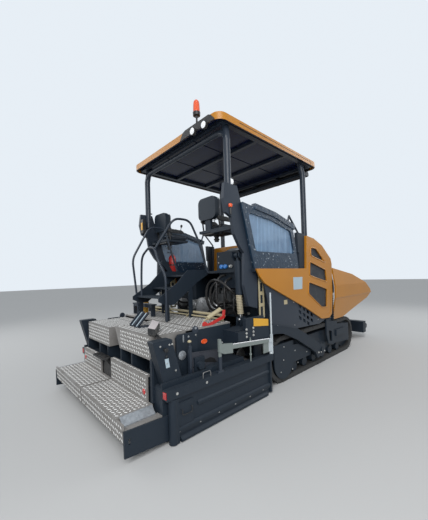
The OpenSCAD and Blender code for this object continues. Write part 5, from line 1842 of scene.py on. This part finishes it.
@dataclass
class CanopyFittings:
    """Lamps, beacon, blinds and trim of the canopy."""

    rear: float = 1370.0
    top: float = 3850.0
    beacon_at: Flat = (640, 1450)
    bow_path: tuple = ((1075, 1600, 3250), (1075, 1600, 3690), (-1075, 1600, 3690),
                       (-1075, 1600, 3250))
    bow_d: float = 84.0
    bow_bend: float = 290.0
    # X, station, facing and depth under the top of each lamp
    lamp_places: tuple = ((690, 1370, -1, 128), (930, 1370, -1, 140), (-850, 4030, 1, 70),
                          (850, 4030, 1, 70))
    lamp_dip: float = -0.08
    strap_places: tuple[float, ...] = (-900, -300, 300, 900)
    strap_width: float = 24.0
    bays_s: tuple = ((1420, 2260), (2285, 3060), (3085, 3960))
    bays_x: tuple = ((-1120, -390), (-370, 370), (390, 1120))
    bay_cut: float = 30.0
    seam_z: Span = (3782, 3789)
    strip_z: Span = (3732, 3797)

    def beacon(self) -> Pieces:
        """Makes the beacon on its stalk."""
        x, s = self.beacon_at
        stalk = Mesh()
        stalk.turned((x, s, self.top - 1), UP,
                     [(45, 0), (45, 10), (16, 16), (13, 120), (26, 150), (52, 158), (55, 206)], 22)
        dome = Mesh()
        dome.turned((x, s, self.top + 204), UP,
                    [(48, 0), (48, 60), (45, 130), (38, 160), (22, 180), (0.1, 188)], 26)
        return [stalk.piece("beacon_stalk", BLACK, Body.TRACTOR),
                dome.piece("beacon_dome", ORANGE, Body.TRACTOR)]

    def lamps(self) -> Pieces:
        """Makes the four work lamps, in place of the plain ones."""
        shell, glass = Mesh(), Mesh()
        for x, s, way, drop in self.lamp_places:
            ahead, z = (0, way, self.lamp_dip), self.top - drop
            shell.turned((x, s, z), ahead, [(20, -2), (40, 4), (52, 26), (54, 52), (48, 56)], 24)
            glass.turned((x, s + way * 52, z - 4), ahead,
                         [(46, 0), (44, 5), (30, 9), (0.1, 11)], 24)
        shells = shell.piece("lamp_shells", BLACK, Body.TRACTOR)
        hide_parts("roof_lamps")
        lenses = glass.piece("lamp_lenses", LAMP, Body.TRACTOR)
        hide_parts("roof_lamps")
        return [shells, lenses]

    def blinds(self) -> bpy.types.Object:
        """Makes the rolled blind and its straps under the front edge."""
        roll = Mesh()
        roll.tube([(-1000, 3960, 3655), (1000, 3960, 3655)], 110, 20)
        roll.tube([(-1010, 3890, 3640), (1010, 3890, 3640)], 70, 16)
        for x in self.strap_places:
            end = x + self.strap_width
            roll.tube([(x, 3960, 3655), (end, 3960, 3655)], 118, 20)
            roll.block((x, end), (3900, 4020), (3690, 3745))
        return roll.piece("rolled_blind", DARK, Body.TRACTOR, 1.5)

    def bow(self) -> bpy.types.Object:
        """Makes the bent tube that joins the rear posts under the roof."""
        bow = Mesh()
        bow.tube(arc_through(self.bow_path, self.bow_bend, 8), self.bow_d, 18)
        return bow.piece("canopy_bow", DARK_SMOOTH, Body.TRACTOR)

    def trim(self) -> bpy.types.Object:
        """Makes the dark recess behind the lamps, the side seams and the inner strips."""
        trim = Mesh()
        low, high = self.top - 119, self.top - 6
        trim.prism(Plane.CROSS, [(330, low), (400, high - 22), (460, high - 3), (975, high - 3),
                                 (1020, high - 26), (1100, low)], (self.rear - 3, self.rear + 1))
        for side in SIDES:
            trim.block(side.span(1174, 1177), (1760, 3780), self.seam_z)
            trim.block(side.span(1174, 1177), (3773, 3780), (low, self.seam_z[1]))
            trim.block(side.span(1149, 1154), (1500, 3900), self.strip_z)
        for s in (self.rear + 22, 4002):
            trim.block((-1030, 1030), (s, s + 5), self.strip_z)
        return trim.piece("canopy_trim", BLACK, Body.TRACTOR)

    def liner(self) -> bpy.types.Object:
        """Makes the panels under the roof, between the cross bars."""
        liner = Mesh()
        cut = self.bay_cut
        for s0, s1 in self.bays_s:
            for x0, x1 in self.bays_x:
                liner.prism(Plane.PLAN, [(x0, s0 + cut), (x0 + cut, s0), (x1 - cut, s0),
                                         (x1, s0 + cut), (x1, s1 - cut), (x1 - cut, s1),
                                         (x0 + cut, s1), (x0, s1 - cut)], (3786, 3799))
        return liner.piece("roof_liner", BLIND, Body.TRACTOR, 3)

    def build(self) -> Pieces:
        """Makes the fittings of the canopy."""
        return [*self.beacon(), *self.lamps(), self.blinds(), self.bow(), self.trim(),
                self.liner()]


@dataclass
class NodeFinishes:
    """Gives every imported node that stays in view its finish."""

    table: dict = field(default_factory=lambda: NODE_FINISH)

    def build(self) -> Pieces:
        """Assigns the materials and returns the nodes."""
        made = []
        for finish, names in self.table.items():
            for name in names:
                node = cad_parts[name]
                for slot in node.material_slots:
                    slot.material = finish.material()
                made.append(node)
        return made


def main() -> None:
    """Builds the stage and every sub-assembly in order."""
    logging.basicConfig(level=logging.INFO, format="%(name)s: %(message)s")
    Studio().build()
    for kind in (Hoses, NodeFinishes, Cushions, RaisedMarks, WalkwayFittings, GateFittings,
                 ScreedFittings, HandRails, PlatformPiping, DeckItems, SidePlateFittings,
                 PlatformFittings, BodyFittings, CanopyFittings):
        for piece in kind().build():
            log.info("%s: %s", kind.__name__, piece.name)


if __name__ == "__main__":
    main()
